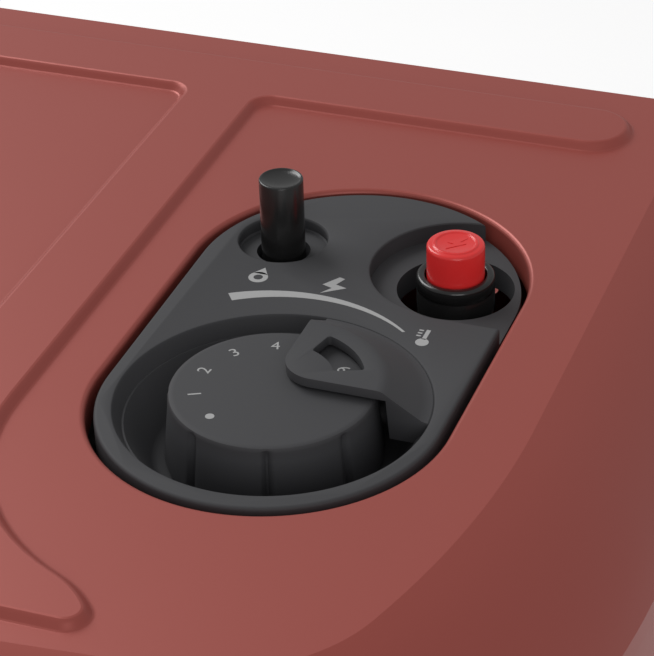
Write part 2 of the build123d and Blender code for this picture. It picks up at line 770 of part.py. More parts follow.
# Hinges of the rear cover: a middle knuckle on the case, two on the cover, and the pins
knuckle_third = hinge_length / 3
with BuildPart() as hinge_case_leaves:
    for hinge_z in hinge_heights:
        leaf_foot = hinge_z - knuckle_third / 2 + knuckle_gap
        with BuildSketch(Plane.XY.offset(leaf_foot)):
            with Locations((hinge_x, hinge_y)):
                Circle(knuckle_radius)
            with Locations((hinge_x, case_rear)):
                Rectangle(hinge_leaf_width, hinge_leaf, align=(Align.MIN, Align.MIN))
            with Locations((hinge_x, hinge_y)):
                Circle(hinge_pin_radius + running_gap, mode=Mode.SUBTRACT)
        extrude(amount=knuckle_third - 2 * knuckle_gap)
hinge_case_leaves.part.label = "hinge_case_leaves"
export_step(hinge_case_leaves.part, "parts/hinge_case_leaves.step")

with BuildPart() as hinge_cover_leaves:
    for hinge_z in hinge_heights:
        for end in (-1, 1):
            with BuildSketch(Plane.XY.offset(hinge_z + end * knuckle_third - knuckle_third / 2)):
                with Locations((hinge_x, hinge_y)):
                    Circle(knuckle_radius)
                with Locations((-cover_half - hinge_leaf, hinge_y)):
                    Rectangle(hinge_leaf, hinge_leaf_width, align=(Align.MIN, Align.MIN))
                with Locations((hinge_x, hinge_y)):
                    Circle(hinge_pin_radius + running_gap, mode=Mode.SUBTRACT)
            extrude(amount=knuckle_third)
        with Locations((-cover_half - hinge_leaf, hinge_y + knuckle_radius + 1, hinge_z)):
            Box(hinge_leaf, hinge_leaf_width - knuckle_radius - 1, hinge_length,
                align=(Align.MIN, Align.MIN, Align.CENTER))
hinge_cover_leaves.part.label = "hinge_cover_leaves"
export_step(hinge_cover_leaves.part, "parts/hinge_cover_leaves.step")

with BuildPart() as hinge_pins:
    for hinge_z in hinge_heights:
        with Locations((hinge_x, hinge_y, hinge_z)):
            Cylinder(hinge_pin_radius, hinge_length + 2)
        with Locations((hinge_x, hinge_y, hinge_z + hinge_length / 2 + 0.3)):
            Cylinder(hinge_pin_radius + 0.8, 1.2, align=(Align.CENTER, Align.CENTER, Align.MIN))
hinge_pins.part.label = "hinge_pins"
export_step(hinge_pins.part, "parts/hinge_pins.step")

# Control bezel: grained plate with the knob dish, the hood and two button recesses
with BuildPart() as hood:
    with BuildSketch(Plane.XZ):
        with BuildLine():
            Polyline(
                (0, hood_top), (knob_skirt_radius, hood_top), (hood_foot_radius, 0),
                (dish_radius + 1, -1), (dish_radius - 2.2, -6), (knob_skirt_radius + 2.2, -6),
                (knob_skirt_radius + 1.2, hood_top - hood_thickness),
                (0, hood_top - hood_thickness), (0, hood_top),
            )
        make_face()
    revolve(axis=Axis.Z, revolution_arc=90)
    with BuildSketch(Plane.XY.offset(-dish_depth)) as hood_outline:
        with Locations((0, hood_front)):
            Rectangle(2 * dish_radius, 2 * dish_radius, align=(Align.MIN, Align.MIN))
        fillet(hood_outline.vertices().sort_by(Axis.X)[:2].sort_by(Axis.Y)[0], hood_corner)
    extrude(amount=2 * dish_depth, mode=Mode.INTERSECT)
    with BuildSketch() as hood_window:
        with BuildLine():
            outer_arc = CenterArc((0, 0), window_outer, window_start, window_end - window_start)
            inner_arc = CenterArc((0, 0), window_inner, window_start, window_end - window_start)
            Line(outer_arc @ 0, inner_arc @ 0)
            Line(outer_arc @ 1, inner_arc @ 1)
        make_face()
        fillet(hood_window.vertices(), window_corner)
    extrude(amount=2 * hood_top, mode=Mode.SUBTRACT)


def recess_section(drop, grow):
    """Igniter recess: a circle joined to the open right side, grown outwards and cut to the plate."""
    with BuildSketch(top_plane.offset(-drop)) as region:
        with Locations((recess_x, recess_y)):
            Circle(recess_radius + grow)
        with Locations((recess_step_x - grow, recess_step_y - grow)):
            Rectangle(opening_half, recess_y - recess_step_y, align=(Align.MIN, Align.MIN))
        if grow > 0:
            SlotCenterToCenter(2 * opening_straight, 2 * bezel_half, rotation=90,
                               mode=Mode.INTERSECT)
    return region.sketch


with BuildPart() as control_bezel:
    extrude(stadium(top_plane.offset(-bezel_skirt), bezel_half, opening_straight),
            amount=bezel_skirt)
    chamfer(control_bezel.faces().sort_by(Axis.Z)[-1].edges(), bezel_chamfer)
    extrude(stadium(top_plane.offset(-bezel_skirt), opening_half + bezel_lug, opening_straight),
            amount=bezel_lug_height)
    extrude(stadium(top_plane.offset(-bezel_skirt), bezel_half - bezel_wall, opening_straight),
            amount=bezel_skirt - bezel_plate, mode=Mode.SUBTRACT)
    with Locations(knob_plane.offset(-dish_depth - bezel_wall)):
        Cone(dish_floor_radius + bezel_wall, dish_radius + bezel_wall, dish_depth + bezel_wall,
             align=(Align.CENTER, Align.CENTER, Align.MIN))
    with Locations(knob_plane.offset(-dish_depth)):
        Cone(dish_floor_radius, dish_radius, dish_depth,
             align=(Align.CENTER, Align.CENTER, Align.MIN), mode=Mode.SUBTRACT)
        Cylinder(knob_hub_radius + 2, 4 * bezel_wall, mode=Mode.SUBTRACT)
    for post_x in (-bezel_post_x, bezel_post_x):
        with Locations(top_plane.offset(-bracket_drop) * Location((post_x, bezel_post_y, 0))):
            Cylinder(bezel_post_radius, bracket_drop - bezel_plate / 2,
                     align=(Align.CENTER, Align.CENTER, Align.MIN))
            Cylinder(screw_radius, 12, align=(Align.CENTER, Align.CENTER, Align.MIN),
                     mode=Mode.SUBTRACT)
    extrude(recess_section(recess_depth + bezel_wall, bezel_wall), amount=recess_depth + bezel_wall)
    extrude(recess_section(recess_depth, 0), amount=2 * recess_depth, mode=Mode.SUBTRACT)
    with Locations(top_plane * Location((piezo_x, piezo_y, 0))):
        Cylinder(piezo_hole_radius, 4 * recess_depth, mode=Mode.SUBTRACT)
    with Locations(top_plane * Location((pilot_x, pilot_y, 0))):
        Cylinder(pilot_recess_radius + bezel_wall, pilot_recess_depth + bezel_wall,
                 align=(Align.CENTER, Align.CENTER, Align.MAX))
        Cylinder(pilot_recess_radius, pilot_recess_depth,
                 align=(Align.CENTER, Align.CENTER, Align.MAX), mode=Mode.SUBTRACT)
        Cylinder(pilot_hole_radius, 4 * pilot_recess_depth, mode=Mode.SUBTRACT)
    add(hood.part.moved(Location(knob_plane)))
control_bezel.part.label = "control_bezel"
export_step(control_bezel.part, "parts/control_bezel.step")

# Knob: notched skirt, open below, with a hub on the valve spindle
knob_height = knob_proud + dish_depth - knob_floor_gap
with BuildPart() as control_knob:
    with Locations(knob_plane.offset(knob_proud - knob_height)):
        Cone(knob_skirt_radius, knob_top_radius, knob_height,
             align=(Align.CENTER, Align.CENTER, Align.MIN))
    fillet(control_knob.faces().sort_by(Axis.Z)[-1].edges(), 0.8)
    with Locations(knob_plane.offset(knob_proud - knob_height)):
        Cone(knob_skirt_radius - knob_wall, knob_top_radius - knob_wall, knob_height - knob_wall,
             align=(Align.CENTER, Align.CENTER, Align.MIN), mode=Mode.SUBTRACT)
        Cylinder(knob_hub_radius, knob_height - knob_wall / 2,
                 align=(Align.CENTER, Align.CENTER, Align.MIN))
        Cylinder(spindle_radius, knob_height - 2 * knob_wall,
                 align=(Align.CENTER, Align.CENTER, Align.MIN), mode=Mode.SUBTRACT)
    with BuildSketch(knob_plane.offset(knob_proud - knob_height)):
        with PolarLocations(knob_skirt_radius - 0.5, knob_groove_count, knob_groove_start):
            Circle(knob_groove)
    extrude(amount=knob_height - 1, mode=Mode.SUBTRACT)
control_knob.part.label = "control_knob"
export_step(control_knob.part, "parts/control_knob.step")

with BuildPart() as knob_spindle:
    with Locations((knob_x, knob_y, bracket_foot - 12)):
        Cylinder(spindle_radius, top_height + knob_proud - 2 * knob_wall - bracket_foot + 12,
                 align=(Align.CENTER, Align.CENTER, Align.MIN))
knob_spindle.part.label = "knob_spindle"
export_step(knob_spindle.part, "parts/knob_spindle.step")

# Pilot button with a dished top, its spindle and its return spring
with BuildPart() as pilot_button:
    button_height = pilot_proud + pilot_below
    with Locations((*pilot_centre, top_height - pilot_below)):
        Cylinder(pilot_radius, button_height, align=(Align.CENTER, Align.CENTER, Align.MIN))
    chamfer(pilot_button.faces().sort_by(Axis.Z)[-1].edges(), 0.6)
    with Locations((*pilot_centre, top_height + pilot_proud + 18)):
        Sphere(19, mode=Mode.SUBTRACT)
    with Locations((*pilot_centre, top_height - pilot_below)):
        Cylinder(pilot_spindle_radius, 12, align=(Align.CENTER, Align.CENTER, Align.MIN),
                 mode=Mode.SUBTRACT)
pilot_button.part.label = "pilot_button"
export_step(pilot_button.part, "parts/pilot_button.step")

spindle_foot = bracket_foot - 10
with BuildPart() as pilot_spindle:
    with Locations((*pilot_centre, spindle_foot)):
        Cylinder(pilot_spindle_radius, top_height - pilot_below + 12 - spindle_foot,
                 align=(Align.CENTER, Align.CENTER, Align.MIN))
pilot_spindle.part.label = "pilot_spindle"
export_step(pilot_spindle.part, "parts/pilot_spindle.step")


def coil_spring(centre, foot, height, radius, wire, turns):
    """Compression spring standing on its foot height, made of one helical wire."""
    with BuildPart() as spring:
        with BuildLine(Plane((*centre, foot + wire))):
            coil = Helix(pitch=(height - 2 * wire) / turns, height=height - 2 * wire, radius=radius)
        with BuildSketch(Plane(coil @ 0, z_dir=coil % 0)):
            RegularPolygon(wire, 4)
        sweep(path=coil, is_frenet=True)
    return spring


spring_gap = 0.3
pilot_spring = coil_spring(pilot_centre, bracket_top + spring_gap,
                           bracket_drop - pilot_below - 2 * spring_gap, 3.4, 0.5, 5)
pilot_spring.part.label = "pilot_spring"
export_step(pilot_spring.part, "parts/pilot_spring.step")

# Igniter: collar and threaded barrel, nut, red cap and its return spring
with BuildPart() as igniter_body:
    with Locations((*piezo_centre, bracket_top)):
        Cylinder(collar_radius, bracket_drop, align=(Align.CENTER, Align.CENTER, Align.MIN))
    fillet(igniter_body.faces().sort_by(Axis.Z)[-1].edges(), 1.0)
    with Locations((*piezo_centre, bracket_top)):
        Cylinder(collar_radius + 1.4, 3, align=(Align.CENTER, Align.CENTER, Align.MIN))
        Cylinder(barrel_radius, barrel_length, align=(Align.CENTER, Align.CENTER, Align.MAX))
    with Locations((*piezo_centre, top_height)):
        Cylinder(collar_bore, collar_depth, align=(Align.CENTER, Align.CENTER, Align.MAX),
                 mode=Mode.SUBTRACT)
    with Locations((*piezo_centre, bracket_top - barrel_length)):
        Cylinder(2.4, 8, align=(Align.CENTER, Align.CENTER, Align.MAX))
igniter_body.part.label = "igniter_body"
export_step(igniter_body.part, "parts/igniter_body.step")

with BuildPart() as igniter_nut:
    with BuildSketch(Plane((*piezo_centre, bracket_foot - nut_height))):
        RegularPolygon(nut_across / 2, 6, major_radius=False)
        Circle(barrel_radius + running_gap, mode=Mode.SUBTRACT)
    extrude(amount=nut_height)
igniter_nut.part.label = "igniter_nut"
export_step(igniter_nut.part, "parts/igniter_nut.step")

with BuildPart() as igniter_cap:
    with Locations((*piezo_centre, top_height - cap_below)):
        Cylinder(cap_radius, cap_proud + cap_below, align=(Align.CENTER, Align.CENTER, Align.MIN))
    fillet(igniter_cap.faces().sort_by(Axis.Z)[-1].edges(), 1.0)
    with BuildSketch(Plane((*piezo_centre, top_height + cap_proud))):
        Circle(cap_radius - 1.6)
        Circle(cap_radius - 2.2, mode=Mode.SUBTRACT)
    extrude(amount=0.3)
igniter_cap.part.label = "igniter_cap"
export_step(igniter_cap.part, "parts/igniter_cap.step")

igniter_spring = coil_spring(piezo_centre, top_height - collar_depth + spring_gap,
                             collar_depth - cap_below - 2 * spring_gap, 5.2, 0.5, 3)
igniter_spring.part.label = "igniter_spring"
export_step(igniter_spring.part, "parts/igniter_spring.step")

# Bracket that hangs under the top and carries the valve, the bezel and the igniter
with BuildPart() as valve_bracket:
    bracket_span = bracket_front + bracket_back
    bracket_y = control_y + (bracket_back - bracket_front) / 2
    with Locations((control_x, bracket_y, bracket_foot)):
        Box(2 * bracket_half, bracket_span, bracket_sheet,
            align=(Align.CENTER, Align.CENTER, Align.MIN))
    for direction in (-1, 1):
        with Locations((control_x + direction * (bracket_half - bracket_sheet / 2), bracket_y,
                        bracket_foot)):
            Box(bracket_sheet, bracket_span, top_height - sheet - bracket_foot,
                align=(Align.CENTER, Align.CENTER, Align.MIN))
        with Locations((control_x + direction * (bracket_half + bracket_flange / 2 - 1), bracket_y,
                        top_height - sheet)):
            Box(bracket_flange, bracket_span, bracket_sheet,
                align=(Align.CENTER, Align.CENTER, Align.MAX))
    holes = [
        (0, -knob_offset, spindle_radius + 2),
        (pilot_x, pilot_y, pilot_spindle_radius + 1),
        (piezo_x, piezo_y, barrel_radius + 0.2),
        (-bezel_post_x, bezel_post_y, screw_radius),
        (bezel_post_x, bezel_post_y, screw_radius),
    ]
    for hole_x, hole_y, hole_radius in holes:
        with Locations((control_x + hole_x, control_y + hole_y, bracket_foot)):
            Cylinder(hole_radius, 4 * bracket_sheet, mode=Mode.SUBTRACT)
valve_bracket.part.label = "valve_bracket"
export_step(valve_bracket.part, "parts/valve_bracket.step")

# Thermostatic gas valve: main body, arm and the housing of the pilot's safety magnet
arm_top = bracket_foot - 10
port_z = bracket_foot - valve_height / 2
inlet_x = knob_x + 10
pilot_port_y = knob_y + 10
pilot_port_z = port_z - 12
with BuildPart() as gas_valve:
    with Locations((knob_x, knob_y, bracket_foot)):
        Cylinder(valve_radius, valve_height, align=(Align.CENTER, Align.CENTER, Align.MAX))
    with Locations((*pilot_centre, bracket_foot)):
        Cylinder(magnet_radius, magnet_height, align=(Align.CENTER, Align.CENTER, Align.MAX))
    fillet(gas_valve.faces().sort_by(Axis.Z)[0].edges(), 3)
    with BuildSketch(Plane.XY.offset(arm_top)):
        with BuildLine() as arm:
            Line((knob_x, knob_y), pilot_centre)
        arm_line = arm.line.edge()
        with Locations(Location(arm_line @ 0.5, (0, 0, arm_line.tangent_angle_at(0)))):
            SlotCenterToCenter(arm_line.length, valve_arm)
    extrude(amount=-valve_arm)
    with BuildSketch(Plane((knob_x, knob_y, port_z), z_dir=(1, 0, 0))):
        Circle(port_radius)
    extrude(amount=valve_radius + port_length)
    with BuildSketch(Plane((knob_x, pilot_port_y, pilot_port_z), z_dir=(1, 0, 0))):
        Circle(pilot_tube_radius + 2)
    extrude(amount=valve_radius + 2)
    with BuildSketch(Plane((inlet_x, knob_y, port_z - 4), z_dir=(0, 1, 0))):
        RegularPolygon(port_radius, 6)
    extrude(amount=valve_radius + port_length)
    with Locations((knob_x, knob_y, bracket_foot)):
        Cylinder(spindle_radius + running_gap, 13, align=(Align.CENTER, Align.CENTER, Align.MAX),
                 mode=Mode.SUBTRACT)
    with Locations((*pilot_centre, bracket_foot)):
        Cylinder(pilot_spindle_radius + running_gap, 11 + pilot_travel,
                 align=(Align.CENTER, Align.CENTER, Align.MAX), mode=Mode.SUBTRACT)
gas_valve.part.label = "gas_valve"
export_step(gas_valve.part, "parts/gas_valve.step")

# Gas tubes: valve to manifold, valve to pilot burner, valve to hose spigot
port_end_x = knob_x + valve_radius + port_length
feed_tube = gas_tube(
    [
        (port_end_x, knob_y, port_z),
        (feed_x + 14, knob_y, port_z),
        (feed_x, tube_y, port_z - 4),
        (feed_x, tube_y, manifold_height),
        (manifold_end, tube_y, manifold_height),
    ],
    feed_radius,
    tube_bend,
)
feed_tube.part.label = "feed_tube"
export_step(feed_tube.part, "parts/feed_tube.step")

pilot_foot = window_foot + 8
pilot_spot = (burner_pitch / 2, reflector_back - pilot_reach)
pilot_tube = gas_tube(
    [
        (knob_x + valve_radius + 2, pilot_port_y, pilot_port_z),
        (pilot_tube_x, pilot_port_y, pilot_port_z),
        (pilot_tube_x, tube_y, pilot_port_z),
        (pilot_tube_x, tube_y, window_foot - 18),
        (*pilot_spot, window_foot - 18),
        (*pilot_spot, pilot_foot - 4),
    ],
    pilot_tube_radius,
    6,
)
pilot_tube.part.label = "pilot_tube"
export_step(pilot_tube.part, "parts/pilot_tube.step")

inlet_y = knob_y + valve_radius + port_length
spigot_y = control_y + 18
spigot_head = port_z - 30
inlet_tube = gas_tube(
    [(inlet_x, inlet_y, port_z - 4), (inlet_x, spigot_y, port_z - 4), (inlet_x, spigot_y, spigot_head)],
    feed_radius, 11)
inlet_tube.part.label = "inlet_tube"
export_step(inlet_tube.part, "parts/inlet_tube.step")

with BuildPart() as hose_spigot:
    with Locations((inlet_x, spigot_y, spigot_head)):
        Cylinder(spigot_collar, 8, align=(Align.CENTER, Align.CENTER, Align.MAX))
    chamfer(hose_spigot.edges().filter_by(GeomType.CIRCLE), 0.6)
    with Locations((inlet_x, spigot_y, spigot_head - 7)):
        Cylinder(spigot_radius, spigot_length + 1, align=(Align.CENTER, Align.CENTER, Align.MAX))
    with Locations((inlet_x, spigot_y, spigot_head - 8 - spigot_length)):
        Cone(spigot_radius - 1, spigot_radius, 3, align=(Align.CENTER, Align.CENTER, Align.MAX))
    with Locations((inlet_x, spigot_y, spigot_head)):
        Cylinder(spigot_bore, 50, align=(Align.CENTER, Align.CENTER, Align.MAX),
                 mode=Mode.SUBTRACT)
hose_spigot.part.label = "hose_spigot"
export_step(hose_spigot.part, "parts/hose_spigot.step")

# Pilot group below the right-hand burner: bracket, pilot burner, thermocouple, spark electrode
pilot_x0, pilot_y0 = pilot_spot
with BuildPart() as pilot_bracket:
    with Locations((pilot_x0, reflector_back, pilot_foot)):
        Box(46, 24, 1.5, align=(Align.CENTER, Align.MAX, Align.MIN))
        Box(46, 1.5, 12, align=(Align.CENTER, Align.MAX, Align.MIN))
    for hole_x, hole_radius in ((0, 3), (-pilot_pitch, 2.6), (pilot_pitch, 3)):
        with Locations((pilot_x0 + hole_x, pilot_y0, pilot_foot)):
            Cylinder(hole_radius, 8, mode=Mode.SUBTRACT)
pilot_bracket.part.label = "pilot_bracket"
export_step(pilot_bracket.part, "parts/pilot_bracket.step")

with BuildPart() as pilot_burner:
    with Locations((pilot_x0, pilot_y0, pilot_foot - 4)):
        Cylinder(2.9, 14, align=(Align.CENTER, Align.CENTER, Align.MIN))
    with Locations((pilot_x0, pilot_y0, pilot_foot + 10)):
        Cylinder(4, 8, align=(Align.CENTER, Align.CENTER, Align.MIN))
    with Locations((pilot_x0, pilot_y0, pilot_foot + 18)):
        Cylinder(2.6, 6, align=(Align.CENTER, Align.CENTER, Align.MAX), mode=Mode.SUBTRACT)
        Box(12, 2, 4, align=(Align.CENTER, Align.CENTER, Align.MAX), mode=Mode.SUBTRACT)
pilot_burner.part.label = "pilot_burner"
export_step(pilot_burner.part, "parts/pilot_burner.step")

with BuildPart() as thermocouple:
    with Locations((pilot_x0 + pilot_pitch, pilot_y0, pilot_foot - 12)):
        Cylinder(2.9, 20, align=(Align.CENTER, Align.CENTER, Align.MIN))
    with Locations((pilot_x0 + pilot_pitch, pilot_y0, pilot_foot + 8)):
        Cylinder(2, 16, align=(Align.CENTER, Align.CENTER, Align.MIN))
    fillet(thermocouple.faces().sort_by(Axis.Z)[-1].edges(), 1.5)
thermocouple.part.label = "thermocouple"
export_step(thermocouple.part, "parts/thermocouple.step")

with BuildPart() as spark_electrode:
    with Locations((pilot_x0 - pilot_pitch, pilot_y0, pilot_foot - 14)):
        Cylinder(2.5, 30, align=(Align.CENTER, Align.CENTER, Align.MIN))
    with BuildLine():
        tip = FilletPolyline(
            (pilot_x0 - pilot_pitch, pilot_y0, pilot_foot + 15),
            (pilot_x0 - pilot_pitch, pilot_y0, pilot_foot + 24),
            (pilot_x0 - pilot_pitch / 2, pilot_y0, pilot_foot + 24),
            radius=2.5,
        )
    with BuildSketch(Plane(tip @ 0, z_dir=tip % 0)):
        Circle(0.8)
    sweep(path=tip)
spark_electrode.part.label = "spark_electrode"
export_step(spark_electrode.part, "parts/spark_electrode.step")

# Room temperature bulb of the thermostat in its clip on the right-hand side
bulb_x = half_width - liner_inset - 8
with BuildPart() as thermostat_bulb:
    with Locations((bulb_x, 0, base_height + 40)):
        Cylinder(4, 64, align=(Align.CENTER, Align.CENTER, Align.MIN))
    fillet(thermostat_bulb.edges().filter_by(GeomType.CIRCLE), 1.8)
thermostat_bulb.part.label = "thermostat_bulb"
export_step(thermostat_bulb.part, "parts/thermostat_bulb.step")

with BuildPart() as bulb_clips:
    for clip_z in (base_height + 52, base_height + 88):
        with BuildSketch(Plane.XY.offset(clip_z)):
            with Locations((bulb_x, 0)):
                Circle(5.2)
                with Locations((2, 0)):
                    Rectangle(half_width - panel_inset - sheet - bulb_x - 2, 6,
                              align=(Align.MIN, Align.CENTER))
                Circle(4, mode=Mode.SUBTRACT)
                Rectangle(12, 3, align=(Align.MAX, Align.CENTER), mode=Mode.SUBTRACT)
        extrude(amount=6)
bulb_clips.part.label = "bulb_clips"
export_step(bulb_clips.part, "parts/bulb_clips.step")

# Castors: plate with stem, fork, wheel and axle at each corner
with BuildPart() as castor_plates:
    for spot in castor_spots.values():
        with Locations((*spot, base_height)):
            Box(castor_plate, castor_plate, castor_plate_height,
                align=(Align.CENTER, Align.CENTER, Align.MAX))
        with Locations((*spot, base_height - castor_plate_height)):
            Cylinder(castor_stem_radius, castor_stem_length,
                     align=(Align.CENTER, Align.CENTER, Align.MAX))
castor_plates.part.label = "castor_plates"
export_step(castor_plates.part, "parts/castor_plates.step")

fork_head = base_height - castor_plate_height - spring_gap
for corner, (spot_x, spot_y) in castor_spots.items():
    with BuildPart() as castor_fork:
        with BuildSketch(Plane((spot_x, spot_y, 0), x_dir=(1, 0, 0), z_dir=(0, -1, 0))) as cheek:
            with BuildLine():
                Polyline((-fork_hub_radius, fork_head), (fork_hub_radius + 4, fork_head),
                         (castor_trail + 8, wheel_radius + 18), (castor_trail + 7, wheel_radius - 5),
                         (castor_trail - 7, wheel_radius - 5), (-fork_hub_radius, fork_head - 12),
                         (-fork_hub_radius, fork_head))
            make_face()
            fillet(cheek.vertices().sort_by(Axis.Y)[:2], 5)
        extrude(amount=fork_width / 2, both=True)
        with Locations(Location((spot_x + castor_trail, spot_y, wheel_radius), (90, 0, 0))):
            Cylinder(wheel_radius + 1, wheel_width + 2 * wheel_side_gap, mode=Mode.SUBTRACT)
            Cylinder(axle_radius, 2 * fork_width, mode=Mode.SUBTRACT)
        with Locations((spot_x, spot_y, fork_head)):
            Cylinder(castor_stem_radius + running_gap, castor_stem_length + 0.5,
                     align=(Align.CENTER, Align.CENTER, Align.MAX), mode=Mode.SUBTRACT)
    castor_fork.part.label = f"castor_fork_{corner}"
    export_step(castor_fork.part, f"parts/castor_fork_{corner}.step")

    with BuildPart() as castor_wheel:
        with BuildSketch(Plane.XZ) as half_profile:
            with BuildLine():
                rim = wheel_width / 2
                Polyline(
                    (axle_radius + running_gap, 0), (axle_radius + running_gap, rim),
                    (axle_radius + 3.5, rim), (axle_radius + 3.5, rim - wheel_hollow),
                    (wheel_radius - 6, rim - wheel_hollow), (wheel_radius - 6, rim),
                    (wheel_radius - wheel_chamfer, rim), (wheel_radius, rim - wheel_chamfer),
                    (wheel_radius, 0), (axle_radius + running_gap, 0),
                )
            make_face()
            mirror(about=Plane.XY)
        revolve(axis=Axis.Z)
    wheel_place = Location((spot_x + castor_trail, spot_y, wheel_radius), (90, 0, 0))
    castor_wheel.part = castor_wheel.part.moved(wheel_place)
    castor_wheel.part.label = f"castor_wheel_{corner}"
    export_step(castor_wheel.part, f"parts/castor_wheel_{corner}.step")

    with BuildPart() as castor_axle:
        with Locations(Location((spot_x + castor_trail, spot_y, wheel_radius), (90, 0, 0))):
            Cylinder(axle_radius, fork_width)
        for end in (-1, 1):
            head_y = spot_y + end * (fork_width / 2 + axle_head / 2)
            with Locations(Location((spot_x + castor_trail, head_y, wheel_radius), (90, 0, 0))):
                Cylinder(axle_radius + 2, axle_head)
    castor_axle.part.label = f"castor_axle_{corner}"
    export_step(castor_axle.part, f"parts/castor_axle_{corner}.step")

# Screws of the side panels and the bezel
with BuildPart() as case_screws:
    for direction in (-1, 1):
        for screw_y in side_screw_ys:
            seat = Plane((direction * (half_width - panel_inset), screw_y, side_screw_height),
                         z_dir=(direction, 0, 0))
            with BuildSketch(seat):
                Circle(screw_head_radius)
            extrude(amount=screw_head_height)
            with BuildSketch(seat):
                Circle(screw_radius)
            extrude(amount=-screw_length)
case_screws.part.label = "case_screws"
export_step(case_screws.part, "parts/case_screws.step")

with BuildPart() as bezel_screws:
    for post_x in (-bezel_post_x, bezel_post_x):
        with Locations((control_x + post_x, control_y + bezel_post_y, bracket_foot)):
            Cylinder(screw_head_radius, 2, align=(Align.CENTER, Align.CENTER, Align.MAX))
            Cylinder(screw_radius, 10, align=(Align.CENTER, Align.CENTER, Align.MIN))
bezel_screws.part.label = "bezel_screws"
export_step(bezel_screws.part, "parts/bezel_screws.step")
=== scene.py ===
"""Looks of the cabinet gas heater: enamelled top, grained control bezel, knob and buttons."""

from __future__ import annotations

import json
import logging
import math
from dataclasses import dataclass, field
from enum import Enum

import bmesh
import bpy
from mathutils import Matrix, Vector

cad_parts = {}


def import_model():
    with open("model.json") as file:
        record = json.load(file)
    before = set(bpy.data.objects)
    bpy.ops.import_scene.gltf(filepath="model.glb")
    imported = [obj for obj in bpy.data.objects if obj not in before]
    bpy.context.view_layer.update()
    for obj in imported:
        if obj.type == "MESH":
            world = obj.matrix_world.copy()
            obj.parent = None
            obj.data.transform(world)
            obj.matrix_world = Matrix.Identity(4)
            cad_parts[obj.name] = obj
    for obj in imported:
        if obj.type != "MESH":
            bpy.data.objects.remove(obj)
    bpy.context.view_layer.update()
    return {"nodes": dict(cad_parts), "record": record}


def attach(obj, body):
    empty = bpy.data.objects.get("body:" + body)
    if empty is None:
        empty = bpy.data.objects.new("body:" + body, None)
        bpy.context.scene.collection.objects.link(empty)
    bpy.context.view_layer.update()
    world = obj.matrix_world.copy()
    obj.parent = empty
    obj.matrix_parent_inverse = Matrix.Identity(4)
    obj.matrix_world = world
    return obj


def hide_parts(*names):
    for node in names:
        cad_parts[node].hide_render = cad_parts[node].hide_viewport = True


LOG = logging.getLogger("heater")
MM = 0.001
Point = tuple[float, float, float]
Flat = tuple[float, float]
Colour = tuple[float, float, float]


class Body(Enum):
    """Bodies of the construction that new pieces ride on."""

    CABINET = "cabinet"
    KNOB = "knob"
    PILOT = "pilot"
    IGNITER = "igniter"


